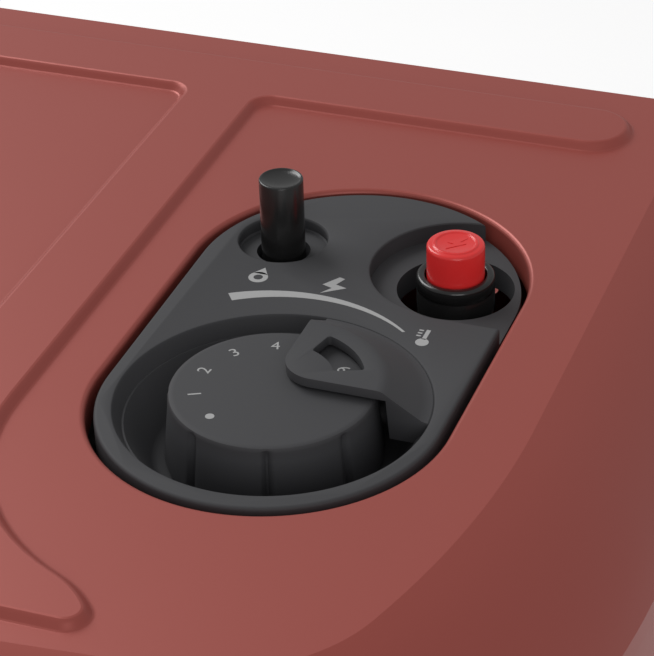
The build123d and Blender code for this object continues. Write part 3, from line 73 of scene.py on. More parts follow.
class Loops:
    """A mesh made in edit mode from closed loops, which are extruded and filled."""

    def __init__(self, name: str) -> None:
        """Starts an empty mesh object in edit mode.

        Args:
            name: name of the finished piece.
        """
        deselect()
        bpy.ops.mesh.primitive_circle_add(vertices=3, radius=MM)
        self.piece = bpy.context.object
        self.piece.name = name
        self.piece.data.name = name
        bpy.ops.object.mode_set(mode="EDIT")
        bpy.ops.mesh.select_mode(type="EDGE")
        bpy.ops.mesh.select_all(action="SELECT")
        bpy.ops.mesh.delete(type="VERT")

    def loop(self, points: list[Point]) -> list[int]:
        """Adds a closed loop: a circle whose vertices are placed one by one.

        Args:
            points: places of the vertices in millimetres.

        Returns:
            The indices of the new vertices.
        """
        bpy.ops.mesh.select_all(action="DESELECT")
        bpy.ops.mesh.primitive_circle_add(vertices=len(points), radius=1.0)
        grid = bmesh.from_edit_mesh(self.piece.data)
        grid.verts.index_update()
        vert = next(vert for vert in grid.verts if vert.select)
        before = None
        order = []
        for point in points:
            vert.co = Vector(point) * MM
            order.append(vert.index)
            ends = (edge.other_vert(vert) for edge in vert.link_edges)
            before, vert = vert, next(end for end in ends if end is not before)
        bmesh.update_edit_mesh(self.piece.data)
        return order

    def select(self, *loops: list[int]) -> None:
        """Selects the edges of some loops and nothing else."""
        pairs = {frozenset((loop[k - 1], loop[k])) for loop in loops for k in range(len(loop))}
        bpy.ops.mesh.select_all(action="DESELECT")
        bpy.ops.mesh.select_mode(type="EDGE")
        grid = bmesh.from_edit_mesh(self.piece.data)
        grid.verts.index_update()
        for edge in grid.edges:
            if frozenset(vert.index for vert in edge.verts) in pairs:
                edge.select_set(True)
        bmesh.update_edit_mesh(self.piece.data)

    def wall(self, rows: list[list[Point]]) -> list[list[int]]:
        """Adds a loop and extrudes it through the places of several more.

        Args:
            rows: the loops, in order.

        Returns:
            The vertex indices of the first and the last loop.
        """
        first = last = self.loop(rows[0])
        for row in rows[1:]:
            bpy.ops.mesh.extrude_region_move()
            grid = bmesh.from_edit_mesh(self.piece.data)
            grid.verts.index_update()
            grid.verts.ensure_lookup_table()
            moved = []
            for index, point in zip(last, row):
                old = grid.verts[index]
                new = next(edge.other_vert(old) for edge in old.link_edges if edge.other_vert(old).select)
                new.co = Vector(point) * MM
                moved.append(new.index)
            bmesh.update_edit_mesh(self.piece.data)
            last = moved
        return [first, last]

    def cap(self, loop: list[int]) -> None:
        """Closes one loop with a single face."""
        self.select(loop)
        bpy.ops.mesh.edge_face_add()

    def fill(self, *loops: list[int]) -> None:
        """Fills the flat area between loops, holes left open."""
        self.select(*loops)
        bpy.ops.mesh.fill(use_beauty=True)

    def done(self, smooth: float = 30.0) -> bpy.types.Object:
        """Merges doubles, turns the faces outwards and shades smooth below an angle.

        Args:
            smooth: edges under this many degrees are shaded smooth.

        Returns:
            The finished object.
        """
        bpy.ops.mesh.select_all(action="SELECT")
        bpy.ops.mesh.remove_doubles(threshold=0.0005 * MM)
        bpy.ops.mesh.normals_make_consistent(inside=False)
        bpy.ops.object.mode_set(mode="OBJECT")
        smooth_by_angle(self.piece, smooth)
        return self.piece


def deselect() -> None:
    """Deselects every object."""
    bpy.ops.object.select_all(action="DESELECT")


def only(piece: bpy.types.Object) -> None:
    """Makes one object the active and only selected one."""
    deselect()
    piece.select_set(True)
    bpy.context.view_layer.objects.active = piece


def smooth_by_angle(piece: bpy.types.Object, angle: float) -> None:
    """Shades a piece smooth where its faces meet at less than an angle in degrees."""
    only(piece)
    bpy.ops.object.shade_smooth_by_angle(angle=math.radians(angle))


def apply_modifier(piece: bpy.types.Object, kind: str, **values: object) -> None:
    """Adds a modifier with some values and applies it.

    Args:
        piece: the object that is changed.
        kind: type of the modifier.
        values: settings of the modifier.
    """
    only(piece)
    modifier = piece.modifiers.new(kind.lower(), kind)
    for key, value in values.items():
        setattr(modifier, key, value)
    bpy.ops.object.modifier_apply(modifier=modifier.name)


def carve(piece: bpy.types.Object, tool: bpy.types.Object, operation: str = "DIFFERENCE") -> None:
    """Cuts, joins or trims a piece with another closed piece, which is then removed."""
    apply_modifier(piece, "BOOLEAN", operation=operation, solver="EXACT", object=tool)
    bpy.data.objects.remove(tool)


def join(pieces: list[bpy.types.Object]) -> bpy.types.Object:
    """Joins several pieces into the first one."""
    deselect()
    for piece in pieces:
        piece.select_set(True)
    bpy.context.view_layer.objects.active = pieces[0]
    bpy.ops.object.join()
    return pieces[0]


def ring(centre: Flat, radius: float, z: float, count: int = 96,
         turn: float = 0.5) -> list[Point]:
    """Points of a circle in millimetres, turned by a share of one step."""
    step = math.tau / count
    return [(centre[0] + radius * math.cos((k + turn) * step),
             centre[1] + radius * math.sin((k + turn) * step), z) for k in range(count)]


def lathe(name: str, centre: Flat, profile: list[Flat],
          count: int = 96, closed: bool = True, smooth: float = 30.0) -> bpy.types.Object:
    """Turned piece from a profile of radius and height pairs.

    Args:
        name: name of the piece.
        centre: place of its upright axis in millimetres.
        profile: radius and height of each turn, in order.
        count: vertices in each turn.
        closed: whether the first and last turns are capped.
        smooth: smoothing angle in degrees.

    Returns:
        The finished object.
    """
    mesh = Loops(name)
    turns = mesh.wall([ring(centre, radius, z, count) for radius, z in profile])
    if closed:
        mesh.cap(turns[0])
        mesh.cap(turns[-1])
    return mesh.done(smooth)


def rounded(radius: float, z: float, edge: float, steps: int = 4) -> list[Flat]:
    """Profile of a rounded outer edge, from the flat top outwards.

    Args:
        radius: outer radius.
        z: height of the flat.
        edge: size of the rounding.
        steps: number of chords.

    Returns:
        Radius and height pairs.
    """
    return [(radius - edge + edge * math.sin(a), z - edge * (1 - math.cos(a)))
            for a in (math.pi / 2 * k / steps for k in range(steps + 1))]


# Finishes


class Nodes:
    """Short way to add and link shader nodes in one tree."""

    def __init__(self, tree: bpy.types.NodeTree) -> None:
        """Takes the tree that the nodes go into."""
        self.tree = tree

    def add(self, kind: str, **values: object) -> bpy.types.Node:
        """Adds a node and sets its properties or input values.

        Args:
            kind: type of the node.
            values: properties, or inputs given by name with spaces as underscores.

        Returns:
            The new node.
        """
        node = self.tree.nodes.new(kind)
        for key, value in values.items():
            name = key.replace("_", " ")
            if name in node.inputs:
                if isinstance(value, bpy.types.NodeSocket):
                    self.tree.links.new(value, node.inputs[name])
                else:
                    node.inputs[name].default_value = value
            else:
                setattr(node, key, value)
        return node

    def link(self, source: bpy.types.NodeSocket, target: bpy.types.NodeSocket) -> None:
        """Links two sockets."""
        self.tree.links.new(source, target)


def new_group(name: str, inputs: dict[str, float | Colour], outputs: dict[str, str]) -> bpy.types.NodeTree:
    """Makes a shader group with named sockets.

    Args:
        name: name of the group.
        inputs: names and default values; three numbers make a colour.
        outputs: names and socket types.

    Returns:
        The new group.
    """
    group = bpy.data.node_groups.new(name, "ShaderNodeTree")
    for label, value in inputs.items():
        kind = "NodeSocketColor" if isinstance(value, tuple) else "NodeSocketFloat"
        socket = group.interface.new_socket(label, in_out="INPUT", socket_type=kind)
        socket.default_value = (*value, 1.0) if isinstance(value, tuple) else value
    for label, kind in outputs.items():
        group.interface.new_socket(label, in_out="OUTPUT", socket_type=kind)
    return group


def grain_group() -> bpy.types.NodeTree:
    """Fine moulded or sprayed grain: a height, and a mask for small changes of colour."""
    group = new_group("surface_grain", {"Scale": 1500.0, "Cells": 0.5, "Spread": 0.5},
                      {"Height": "NodeSocketFloat", "Mask": "NodeSocketFloat"})
    nodes = Nodes(group)
    given = nodes.add("NodeGroupInput").outputs
    place = nodes.add("ShaderNodeTexCoord").outputs["Object"]
    fine = nodes.add("ShaderNodeTexNoise", Vector=place, Scale=given["Scale"], Detail=3.0)
    cells = nodes.add("ShaderNodeTexVoronoi", feature="SMOOTH_F1", Vector=place, Scale=given["Scale"])
    mix = nodes.add("ShaderNodeMix", data_type="FLOAT", Factor=given["Cells"])
    nodes.link(fine.outputs["Fac"], mix.inputs["A"])
    nodes.link(cells.outputs["Distance"], mix.inputs["B"])
    broad = nodes.add("ShaderNodeTexNoise", Vector=place, Scale=25.0, Detail=4.0)
    spread = nodes.add("ShaderNodeMapRange", Value=broad.outputs["Fac"])
    spread.inputs["From Min"].default_value = 0.3
    spread.inputs["From Max"].default_value = 0.7
    scaled = nodes.add("ShaderNodeMath", operation="MULTIPLY")
    nodes.link(spread.outputs["Result"], scaled.inputs[0])
    nodes.link(given["Spread"], scaled.inputs[1])
    out = nodes.add("NodeGroupOutput")
    nodes.link(mix.outputs["Result"], out.inputs["Height"])
    nodes.link(scaled.outputs["Value"], out.inputs["Mask"])
    return group


def wear_group() -> bpy.types.NodeTree:
    """Painted highlight: paler convex edges, picked out by the bend of the surface."""
    group = new_group("painted_edge_sheen", {"Colour": (0.5, 0.5, 0.5), "Highlit": (0.7, 0.7, 0.7), "Amount": 0.2},
                      {"Colour": "NodeSocketColor", "Mask": "NodeSocketFloat"})
    nodes = Nodes(group)
    given = nodes.add("NodeGroupInput").outputs
    bend = nodes.add("ShaderNodeNewGeometry").outputs["Pointiness"]
    edge = nodes.add("ShaderNodeMapRange", Value=bend)
    edge.inputs["From Min"].default_value = 0.52
    edge.inputs["From Max"].default_value = 0.6
    amount = nodes.add("ShaderNodeMath", operation="MULTIPLY")
    nodes.link(edge.outputs["Result"], amount.inputs[0])
    nodes.link(given["Amount"], amount.inputs[1])
    mix = nodes.add("ShaderNodeMix", data_type="RGBA")
    nodes.link(amount.outputs["Value"], mix.inputs["Factor"])
    nodes.link(given["Colour"], mix.inputs[6])
    nodes.link(given["Highlit"], mix.inputs[7])
    out = nodes.add("NodeGroupOutput")
    nodes.link(mix.outputs[2], out.inputs["Colour"])
    nodes.link(amount.outputs["Value"], out.inputs["Mask"])
    return group


@dataclass(frozen=True)
class Finish:
    """A painted, moulded or bare surface with grain, colour drift and a painted highlight on its convex
    edges.
    """

    name: str
    colour: Colour
    roughness: float = 0.4
    metallic: float = 0.0
    grain_scale: float = 1500.0
    grain_depth: float = 0.02
    cells: float = 0.3
    drift: float = 0.12
    # Strength of the painted highlight that lightens convex edges.
    wear: float = 0.1
    brushed: float = 0.0

    def material(self) -> bpy.types.Material:
        """Builds the material, or returns it when it is there already."""
        if self.name in bpy.data.materials:
            return bpy.data.materials[self.name]
        material = bpy.data.materials.new(self.name)
        material.use_nodes = True
        material.node_tree.nodes.clear()
        nodes = Nodes(material.node_tree)
        grain = nodes.add("ShaderNodeGroup", node_tree=shared_group("surface_grain"))
        grain.inputs["Scale"].default_value = self.grain_scale
        grain.inputs["Cells"].default_value = self.cells
        grain.inputs["Spread"].default_value = 1.0
        drift = nodes.add("ShaderNodeMix", data_type="RGBA")
        drift.inputs[6].default_value = (*self.colour, 1.0)
        drift.inputs[7].default_value = (*(c * (1 - self.drift) for c in self.colour), 1.0)
        nodes.link(grain.outputs["Mask"], drift.inputs["Factor"])
        # Convex edges are lightened towards a paler tint: a painted highlight that stands in for reflections
        # along fillets and creases.
        wear = nodes.add("ShaderNodeGroup", node_tree=shared_group("painted_edge_sheen"))
        nodes.link(drift.outputs[2], wear.inputs["Colour"])
        wear.inputs["Highlit"].default_value = (*(min(1.0, c * 1.6 + 0.02) for c in self.colour), 1.0)
        wear.inputs["Amount"].default_value = self.wear
        rough = nodes.add("ShaderNodeMapRange", Value=grain.outputs["Mask"])
        rough.inputs["To Min"].default_value = self.roughness * 0.94
        rough.inputs["To Max"].default_value = min(1.0, self.roughness * 1.08)
        bump = nodes.add("ShaderNodeBump", Distance=MM, Strength=self.grain_depth)
        if self.brushed > 0:
            place = nodes.add("ShaderNodeTexCoord").outputs["Object"]
            stretch = nodes.add("ShaderNodeMapping", Vector=place)
            stretch.inputs["Scale"].default_value = (30.0, 900.0, 900.0)
            lines = nodes.add("ShaderNodeTexNoise", Scale=1.0, Detail=2.0)
            nodes.link(stretch.outputs["Vector"], lines.inputs["Vector"])
            mixed = nodes.add("ShaderNodeMix", data_type="FLOAT", Factor=self.brushed)
            nodes.link(grain.outputs["Height"], mixed.inputs["A"])
            nodes.link(lines.outputs["Fac"], mixed.inputs["B"])
            nodes.link(mixed.outputs["Result"], bump.inputs["Height"])
        else:
            nodes.link(grain.outputs["Height"], bump.inputs["Height"])
        shader = nodes.add("ShaderNodeBsdfPrincipled", Metallic=self.metallic)
        nodes.link(wear.outputs["Colour"], shader.inputs["Base Color"])
        nodes.link(rough.outputs["Result"], shader.inputs["Roughness"])
        nodes.link(bump.outputs["Normal"], shader.inputs["Normal"])
        out = nodes.add("ShaderNodeOutputMaterial")
        nodes.link(shader.outputs["BSDF"], out.inputs["Surface"])
        return material


def shared_group(name: str) -> bpy.types.NodeTree:
    """Returns a shared shader group, built at its first use."""
    builders = {"surface_grain": grain_group, "painted_edge_sheen": wear_group}
    return bpy.data.node_groups.get(name) or builders[name]()


# All finishes but the grey print carry a painted highlight on their convex edges, strongest on the grained
# plastic.
RED_ENAMEL = Finish("red_enamel", (0.3, 0.032, 0.022), roughness=0.42, grain_scale=2600.0,
                    grain_depth=0.05, cells=0.2, drift=0.06, wear=0.12)
DARK_ENAMEL = Finish("dark_enamel", (0.022, 0.022, 0.024), roughness=0.45, grain_scale=2200.0,
                     grain_depth=0.05)
GRAINED = Finish("grained_plastic", (0.031, 0.031, 0.032), roughness=0.55, grain_scale=1300.0,
                 grain_depth=0.22, cells=0.6, drift=0.2, wear=0.35)
GLOSS_BLACK = Finish("black_plastic", (0.008, 0.008, 0.009), roughness=0.16, grain_depth=0.006)
GLOSS_RED = Finish("red_plastic", (0.86, 0.012, 0.02), roughness=0.3, grain_depth=0.01, drift=0.05)
CHROME = Finish("chrome_wire", (0.72, 0.72, 0.73), roughness=0.12, metallic=1.0, grain_depth=0.01)
ALUMINISED = Finish("aluminised_steel", (0.58, 0.58, 0.57), roughness=0.34, metallic=1.0,
                    grain_scale=400.0, grain_depth=0.05, cells=0.8, brushed=0.4)
CERAMIC = Finish("ceramic", (0.78, 0.72, 0.62), roughness=0.85, grain_scale=900.0, grain_depth=0.2)
ZINC = Finish("zinc_steel", (0.56, 0.57, 0.6), roughness=0.36, metallic=1.0, grain_depth=0.03)
CAST = Finish("cast_alloy", (0.5, 0.5, 0.5), roughness=0.55, metallic=1.0, grain_scale=700.0,
              grain_depth=0.25)
BRASS = Finish("brass", (0.78, 0.55, 0.22), roughness=0.3, metallic=1.0, grain_depth=0.02, brushed=0.6)
TUBE = Finish("aluminium_tube", (0.66, 0.66, 0.66), roughness=0.4, metallic=1.0, brushed=0.6)
CASTOR = Finish("castor_plastic", (0.02, 0.02, 0.02), roughness=0.5, grain_depth=0.1)
PRINT = Finish("grey_print", (0.42, 0.42, 0.42), roughness=0.6, grain_depth=0.03, wear=0.0)

SLOT_FINISHES = {finish.name: finish for finish in (
    RED_ENAMEL, DARK_ENAMEL, CHROME, ALUMINISED, CERAMIC, ZINC, CAST, BRASS, TUBE, GRAINED, GLOSS_BLACK,
    GLOSS_RED, CASTOR)}


def place_piece(piece: bpy.types.Object, finish: Finish, body: Body,
                replaces: tuple[str, ...] = ()) -> None:
    """Dresses a finished piece, ties it to its body and reports it.

    Args:
        piece: the finished object.
        finish: its surface.
        body: the body that it rides on.
        replaces: nodes of the construction that it stands for.
    """
    piece.data.materials.clear()
    piece.data.materials.append(finish.material())
    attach(piece, body.value)
    if replaces:
        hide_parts(*replaces)
    LOG.info("%s: %d faces, rides on %s", piece.name, len(piece.data.polygons), body.value)


# Pressed top


@dataclass
class CabinetPlan:
    """Plan of the case: straight sides, swept fronts, round corners and a bowed front."""

    width: float = 470.0
    depth: float = 432.0
    rear: float = 85.0
    side_radius: float = 266.0
    sweep_angle: float = 18.5
    corner_radius: float = 69.6
    front_angle: float = 84.0

    def centres(self) -> tuple[float, float, float, float, float]:
        """Y where the sweep starts, then the corner's centre and the bow's centre and radius."""
        sweep, front = math.radians(self.sweep_angle), math.radians(self.front_angle)
        swept = self.side_radius - self.corner_radius
        corner_x = self.width / 2 - self.side_radius + swept * math.cos(sweep)
        bow = (corner_x + self.corner_radius * math.cos(front)) / math.cos(front)
        run = (self.side_radius * math.sin(sweep)
               + self.corner_radius * (math.sin(front) - math.sin(sweep)) + bow * (1 - math.sin(front)))
        start = run - self.depth / 2
        corner_y = start - swept * math.sin(sweep)
        return start, corner_x, corner_y, bow - self.depth / 2, bow

    def points(self, inset: float, z: float) -> list[Point]:
        """Points of the plan drawn in by an inset, at a height."""
        start, corner_x, corner_y, bow_y, bow = self.centres()
        half = self.width / 2
        side = [(half - inset, self.rear + (start - self.rear) * k / 8) for k in range(8)]
        sweep = [(half - self.side_radius + (self.side_radius - inset) * math.cos(a),
                  start - (self.side_radius - inset) * math.sin(a))
                 for a in (math.radians(self.sweep_angle) * k / 14 for k in range(14))]
        corner = [(corner_x + (self.corner_radius - inset) * math.cos(a),
                   corner_y - (self.corner_radius - inset) * math.sin(a))
                  for a in (math.radians(self.sweep_angle + (self.front_angle - self.sweep_angle) * k / 18)
                            for k in range(18))]
        front = [((bow - inset) * math.cos(a), bow_y - (bow - inset) * math.sin(a))
                 for a in (math.radians(self.front_angle + (90 - self.front_angle) * k / 12)
                           for k in range(13))]
        right = side + sweep + corner + front
        left = [(-x, y) for x, y in reversed(right[:-1])]
        return [(x, y, z) for x, y in right + left]


@dataclass
class PressedTop:
    """Steel top: crisp shoulder crease, raised yoke and rolled control opening."""

    plan: CabinetPlan = field(default_factory=CabinetPlan)
    height: float = 752.0
    sheet: float = 1.0
    shoulder_width: float = 31.6
    shoulder_drop: float = 31.0
    shoulder_start: float = 20.0
    shoulder_end: float = 69.0
    skirt: float = 6.0
    opening: Flat = (144.0, -55.0)
    opening_half: float = 42.0
    opening_straight: float = 28.85
    opening_flange: float = 8.4
    roll: float = 1.4
    yoke_y: float = 61.8
    band_radius: float = 11.8
    band_reach: float = 179.3
    branch_inner: float = 66.3
    branch_outer: float = 90.2
    branch_front: float = -101.0
    swell_radius: float = 60.0
    swell_angle: float = 66.0
    ease_radius: float = 30.0
    ease_angle: float = 26.4
    ease_corner: float = 6.0
    recess_front: float = -148.0
    corner: float = 3.6
    press: tuple[Flat, ...] = (
        (0.45, 0.05), (0.4, 0.2), (0.4, 0.42), (0.45, 0.56), (0.4, 0.45), (0.4, 0.28), (0.5, 0.14))

    def shoulder(self) -> list[list[Point]]:
        """Loops down the shoulder and the skirt below it."""
        first, last = math.radians(self.shoulder_start), math.radians(self.shoulder_end)
        rows = []
        for k in range(11):
            slope = first + (last - first) * k / 10
            out = (math.sin(slope) - math.sin(first)) / (math.sin(last) - math.sin(first))
            down = (math.cos(first) - math.cos(slope)) / (math.cos(first) - math.cos(last))
            rows.append(self.plan.points(self.shoulder_width * (1 - out),
                                         self.height - self.shoulder_drop * down))
        rows.append(self.plan.points(0, self.height - self.shoulder_drop - self.skirt))
        return rows

    def stadium(self, half: float, z: float) -> list[Point]:
        """Points of the control opening grown to a half width, at a height."""
        return [(x, y + math.copysign(self.opening_straight, y - self.opening[1]), z)
                for x, y, z in ring(self.opening, half, z, 128)]

    def yoke_outline(self) -> list[Point]:
        """Outer line of the raised yoke: band, two branches and flared front."""
        inner = self.yoke_y - self.band_radius
        right = arc((self.band_reach, self.yoke_y), self.band_radius, 90, -90, 20)
        right += arc((self.branch_outer + self.corner, inner - self.corner), self.corner, 90, 180, 6)
        right += [(self.branch_outer, self.branch_front)]
        swell = (self.branch_outer + self.swell_radius, self.branch_front)
        right += arc(swell, self.swell_radius, 180, 180 + self.swell_angle, 14)[1:]
        turn = math.radians(180 + self.swell_angle)
        reach = self.swell_radius + self.ease_radius
        ease = (swell[0] + reach * math.cos(turn), swell[1] + reach * math.sin(turn))
        right += arc(ease, self.ease_radius, self.swell_angle, self.swell_angle - self.ease_angle, 10)[1:]
        end = math.radians(self.swell_angle - self.ease_angle)
        reach = self.ease_radius - self.ease_corner
        nose = (ease[0] + reach * math.cos(end), ease[1] + reach * math.sin(end))
        right += arc(nose, self.ease_corner, math.degrees(end), -90, 12)[1:]
        left = [(-x, y) for x, y in reversed(right)]
        return [(x, y, self.height) for x, y in right + left]

    def recess_outline(self) -> list[Point]:
        """Outer line of the flat middle that the yoke frames."""
        x, r = self.branch_inner, self.corner
        back, front = self.yoke_y - self.band_radius, self.recess_front
        right = arc((x - r, back - r), r, 90, 0, 6) + arc((x - 4 * r, front + 4 * r), 4 * r, 0, -90, 12)
        left = [(-px, py) for px, py in reversed(right)]
        return [(px, py, self.height) for px, py in right + left]

    def build(self) -> bpy.types.Object:
        """Models the top.

        Returns:
            The finished object.
        """
        mesh = Loops("pressed_top")
        crease = mesh.wall(self.shoulder())[0]
        roll = [(self.opening_half + self.roll * (1 - math.sin(a)),
                 self.height - self.roll * (1 - math.cos(a)))
                for a in (math.pi / 2 * k / 5 for k in range(6))]
        rows = [self.stadium(half, z) for half, z in roll]
        rows.append(self.stadium(self.opening_half, self.height - self.opening_flange))
        rim = mesh.wall(rows)[0]
        yoke = mesh.loop(self.yoke_outline())
        recess = mesh.loop(self.recess_outline())
        mesh.fill(recess)
        mesh.fill(crease, rim, yoke)
        mesh.fill(yoke, recess)
        bpy.ops.mesh.select_mode(type="FACE")
        # The yoke stays selected while every normal is turned outwards
        grid = bmesh.from_edit_mesh(mesh.piece.data)
        raised = [face.index for face in grid.faces if face.select]
        bpy.ops.mesh.select_all(action="SELECT")
        bpy.ops.mesh.normals_make_consistent(inside=False)
        bpy.ops.mesh.select_all(action="DESELECT")
        grid.faces.ensure_lookup_table()
        for index in raised:
            grid.faces[index].select_set(True)
        bmesh.update_edit_mesh(mesh.piece.data)
        for across, up in self.press:
            bpy.ops.mesh.inset(thickness=across * MM, depth=0.0, use_boundary=True, use_even_offset=True)
            bpy.ops.transform.translate(value=(0.0, 0.0, up * MM))
        piece = mesh.done(14)
        apply_modifier(piece, "SOLIDIFY", thickness=self.sheet * MM, offset=-1.0, use_even_offset=True)
        smooth_by_angle(piece, 24)
        apply_modifier(piece, "WEIGHTED_NORMAL", keep_sharp=True)
        return piece


def arc(centre: Flat, radius: float, start: float, end: float, steps: int) -> list[Flat]:
    """Points along an arc, both ends included, with angles in degrees."""
    angles = (math.radians(start + (end - start) * k / steps) for k in range(steps + 1))
    return [(centre[0] + radius * math.cos(a), centre[1] + radius * math.sin(a)) for a in angles]


def prism(name: str, outline: list[Flat], low: float, high: float) -> bpy.types.Object:
    """Closed upright prism on an outline.

    Args:
        name: name of the piece.
        outline: its plan in millimetres.
        low: height of its foot.
        high: height of its head.

    Returns:
        The finished object.
    """
    mesh = Loops(name)
    foot, head = mesh.wall([[(x, y, z) for x, y in outline] for z in (low, high)])
    mesh.cap(foot)
    mesh.cap(head)
    return mesh.done()


# Control bezel, knob and buttons


@dataclass
class Controls:
    """Everything in the control opening: bezel, hood, knob, pilot button and igniter."""

    centre: Flat = (144.0, -55.0)
    top: float = 752.0
    plate_half: float = 40.1
    plate_straight: float = 28.85
    plate_depth: float = 10.9
    knob_offset: float = 27.7
    dish_radius: float = 36.3
    dish_floor: float = 27.7
    dish_depth: float = 14.7
    dish_narrowing: float = 6.4
    hood_top: float = 6.3
    hood_under: float = 4.0
    hood_radius: float = 25.2
    hood_foot: float = 34.9
    hood_front: float = 1.7
    hood_corner: float = 8.4
    knob_radius: float = 23.7
    knob_skirt: float = 25.2
    knob_proud: float = 3.2
    groove_count: int = 8
    groove_start: float = 17.5
    groove_depth: float = 1.25
    groove_spread: float = 1.4
    pilot: Flat = (-23.1, 40.1)
    pilot_hole: float = 6.7
    pilot_height: float = 17.2
    pilot_radius: float = 5.5
    well_mouth: float = 11.1
    well_floor: float = 10.9
    well_depth: float = 3.4
    igniter: Flat = (22.7, 37.4)
    igniter_hole: float = 14.4
    cap_height: float = 8.3
    collar_radius: float = 9.6
    nut_radius: float = 11.0
    recess: Flat = (23.5, 39.5)
    recess_radius: float = 22.3
    recess_depth: float = 4.6
    step_y: float = 16.4
    step_x: float = 19.5

    def at(self, x: float, y: float) -> Flat:
        """Place in the cabinet's frame of a point given from the opening's centre."""
        return self.centre[0] + x, self.centre[1] + y

    @property
    def knob_axis(self) -> Flat:
        """Place of the knob's axis."""
        return self.at(0, -self.knob_offset)

    def plate(self) -> bpy.types.Object:
        """Models the plate with its dish, its two recesses and their holes."""
        mesh = Loops("bezel_plate")
        rim = [(r, self.top + z) for r, z in rounded(self.plate_half, 0, 0.9)]
        rows = [[(x, y + math.copysign(self.plate_straight, y - self.centre[1]), z)
                 for x, y, z in ring(self.centre, r, z, 144)] for r, z in rim]
        rows.append([(x, y, self.top - self.plate_depth) for x, y, _ in rows[-1]])
        loops = mesh.wall(rows)
        mesh.cap(loops[0])
        mesh.cap(loops[-1])
        piece = mesh.done()
        carve(piece, self.flared("dish", self.knob_axis, self.dish_radius,
                                 self.dish_radius - self.dish_narrowing, self.plate_depth + 1))
        carve(piece, self.flared("pilot_well", self.at(*self.pilot), self.well_mouth, self.well_floor,
                                 self.well_depth))
        carve(piece, self.recess_tool())
        for name, spot, radius in (("pilot_hole", self.pilot, self.pilot_hole),
                                   ("igniter_hole", self.igniter, self.igniter_hole)):
            carve(piece, lathe(name, self.at(*spot), [(radius, self.top - 30), (radius, self.top + 2)]))
        smooth_by_angle(piece, 28)
        return piece

    def flared(self, name: str, spot: Flat, mouth: float, floor: float,
               depth: float) -> bpy.types.Object:
        """Cutter for a round well whose mouth is eased by a small radius."""
        profile = [(mouth + 0.75, self.top + 1.0), (mouth + 0.7, self.top + 0.001),
                   (mouth + 0.3, self.top - 0.12), (mouth + 0.05, self.top - 0.38),
                   (mouth - 0.08, self.top - 0.75),
                   (floor + 0.4, self.top - depth + 0.35), (floor, self.top - depth)]
        return lathe(name, spot, profile, 128)

    def recess_tool(self) -> bpy.types.Object:
        """Cutter for the igniter's recess, open at the right side of the plate."""
        rear_y = self.plate_straight + self.plate_half
        mesh = Loops("recess")
        rows = []
        for grow, z in ((0.7, 1.0), (0.65, 0.001), (0.25, -0.12), (0.02, -0.4), (0.0, -self.recess_depth)):
            line = arc(self.recess, self.recess_radius + grow, 258, 80, 48)
            line += [(self.recess[0] + 10, rear_y + 5), (60, rear_y + 5), (60, self.step_y - grow),
                     (self.step_x + 2.2, self.step_y - grow)]
            rows.append([(*self.at(x, y), self.top + z) for x, y in line])
        loops = mesh.wall(rows)
        mesh.cap(loops[0])
        mesh.cap(loops[-1])
        return mesh.done()

    def hood(self) -> bpy.types.Object:
        """Models the hood over the knob with its index window."""
        x, y = self.knob_axis
        top = self.top
        piece = lathe("bezel_hood", (x, y), [
            (0.6, top + self.hood_under), (self.knob_skirt + 1.2, top + self.hood_under),
            (self.knob_skirt + 2.0, top - 6), (33.5, top - 6), (self.dish_radius + 0.9, top - 1),
            (self.hood_foot + 1.2, top - 0.05), (self.hood_foot, top + 0.15),
            (self.hood_foot - 1.2, top + 0.9), (self.hood_radius + 1.6, top + self.hood_top - 1.05),
            (self.hood_radius + 0.7, top + self.hood_top - 0.4),
            (self.hood_radius - 0.4, top + self.hood_top - 0.05),
            (self.hood_radius - 1.4, top + self.hood_top), (0.6, top + self.hood_top)], 160)
        r, front = self.hood_corner, self.hood_front
        outline = arc((r, front + r), r, 180, 270, 16) + [(60, front), (60, 60), (0, 60)]
        trim = prism("hood_trim", [(x + px, y + py) for px, py in outline], top - 20, top + 20)
        carve(piece, trim, "INTERSECT")
        window = (arc((0, 0), 21.0, 25, 72, 18) + arc((0, 0), 13.9, 70, 27, 14))
        window = soften(window, 1.3)
        carve(piece, prism("hood_window", [(x + px, y + py) for px, py in window], top - 2, top + 20))
        apply_modifier(piece, "BEVEL", width=0.5 * MM, segments=3, limit_method="ANGLE",
                       angle_limit=math.radians(50), harden_normals=False)
        smooth_by_angle(piece, 35)
        return piece

    def dish(self) -> bpy.types.Object:
        """Models the cone and floor of the dish below the plate."""
        low = self.top - self.dish_depth
        inner = [(self.dish_radius - 3.3 + 1.0, self.top - 4.0), (self.dish_floor + 0.8, low + 0.9),
                 (self.dish_floor, low + 0.25), (self.dish_floor - 1, low), (10.0, low)]
        outer = [(10.0, low - 2), (self.dish_floor + 1.5, low - 2), (self.dish_radius + 0.2, self.top - 4.0)]
        return lathe("bezel_dish", self.knob_axis, inner + outer + inner[:1], 128, closed=False)

    def bezel(self) -> bpy.types.Object:
        """Models the whole bezel."""
        piece = join([self.plate(), self.dish(), self.hood()])
        piece.name = "control_bezel_shell"
        smooth_by_angle(piece, 30)
        return piece

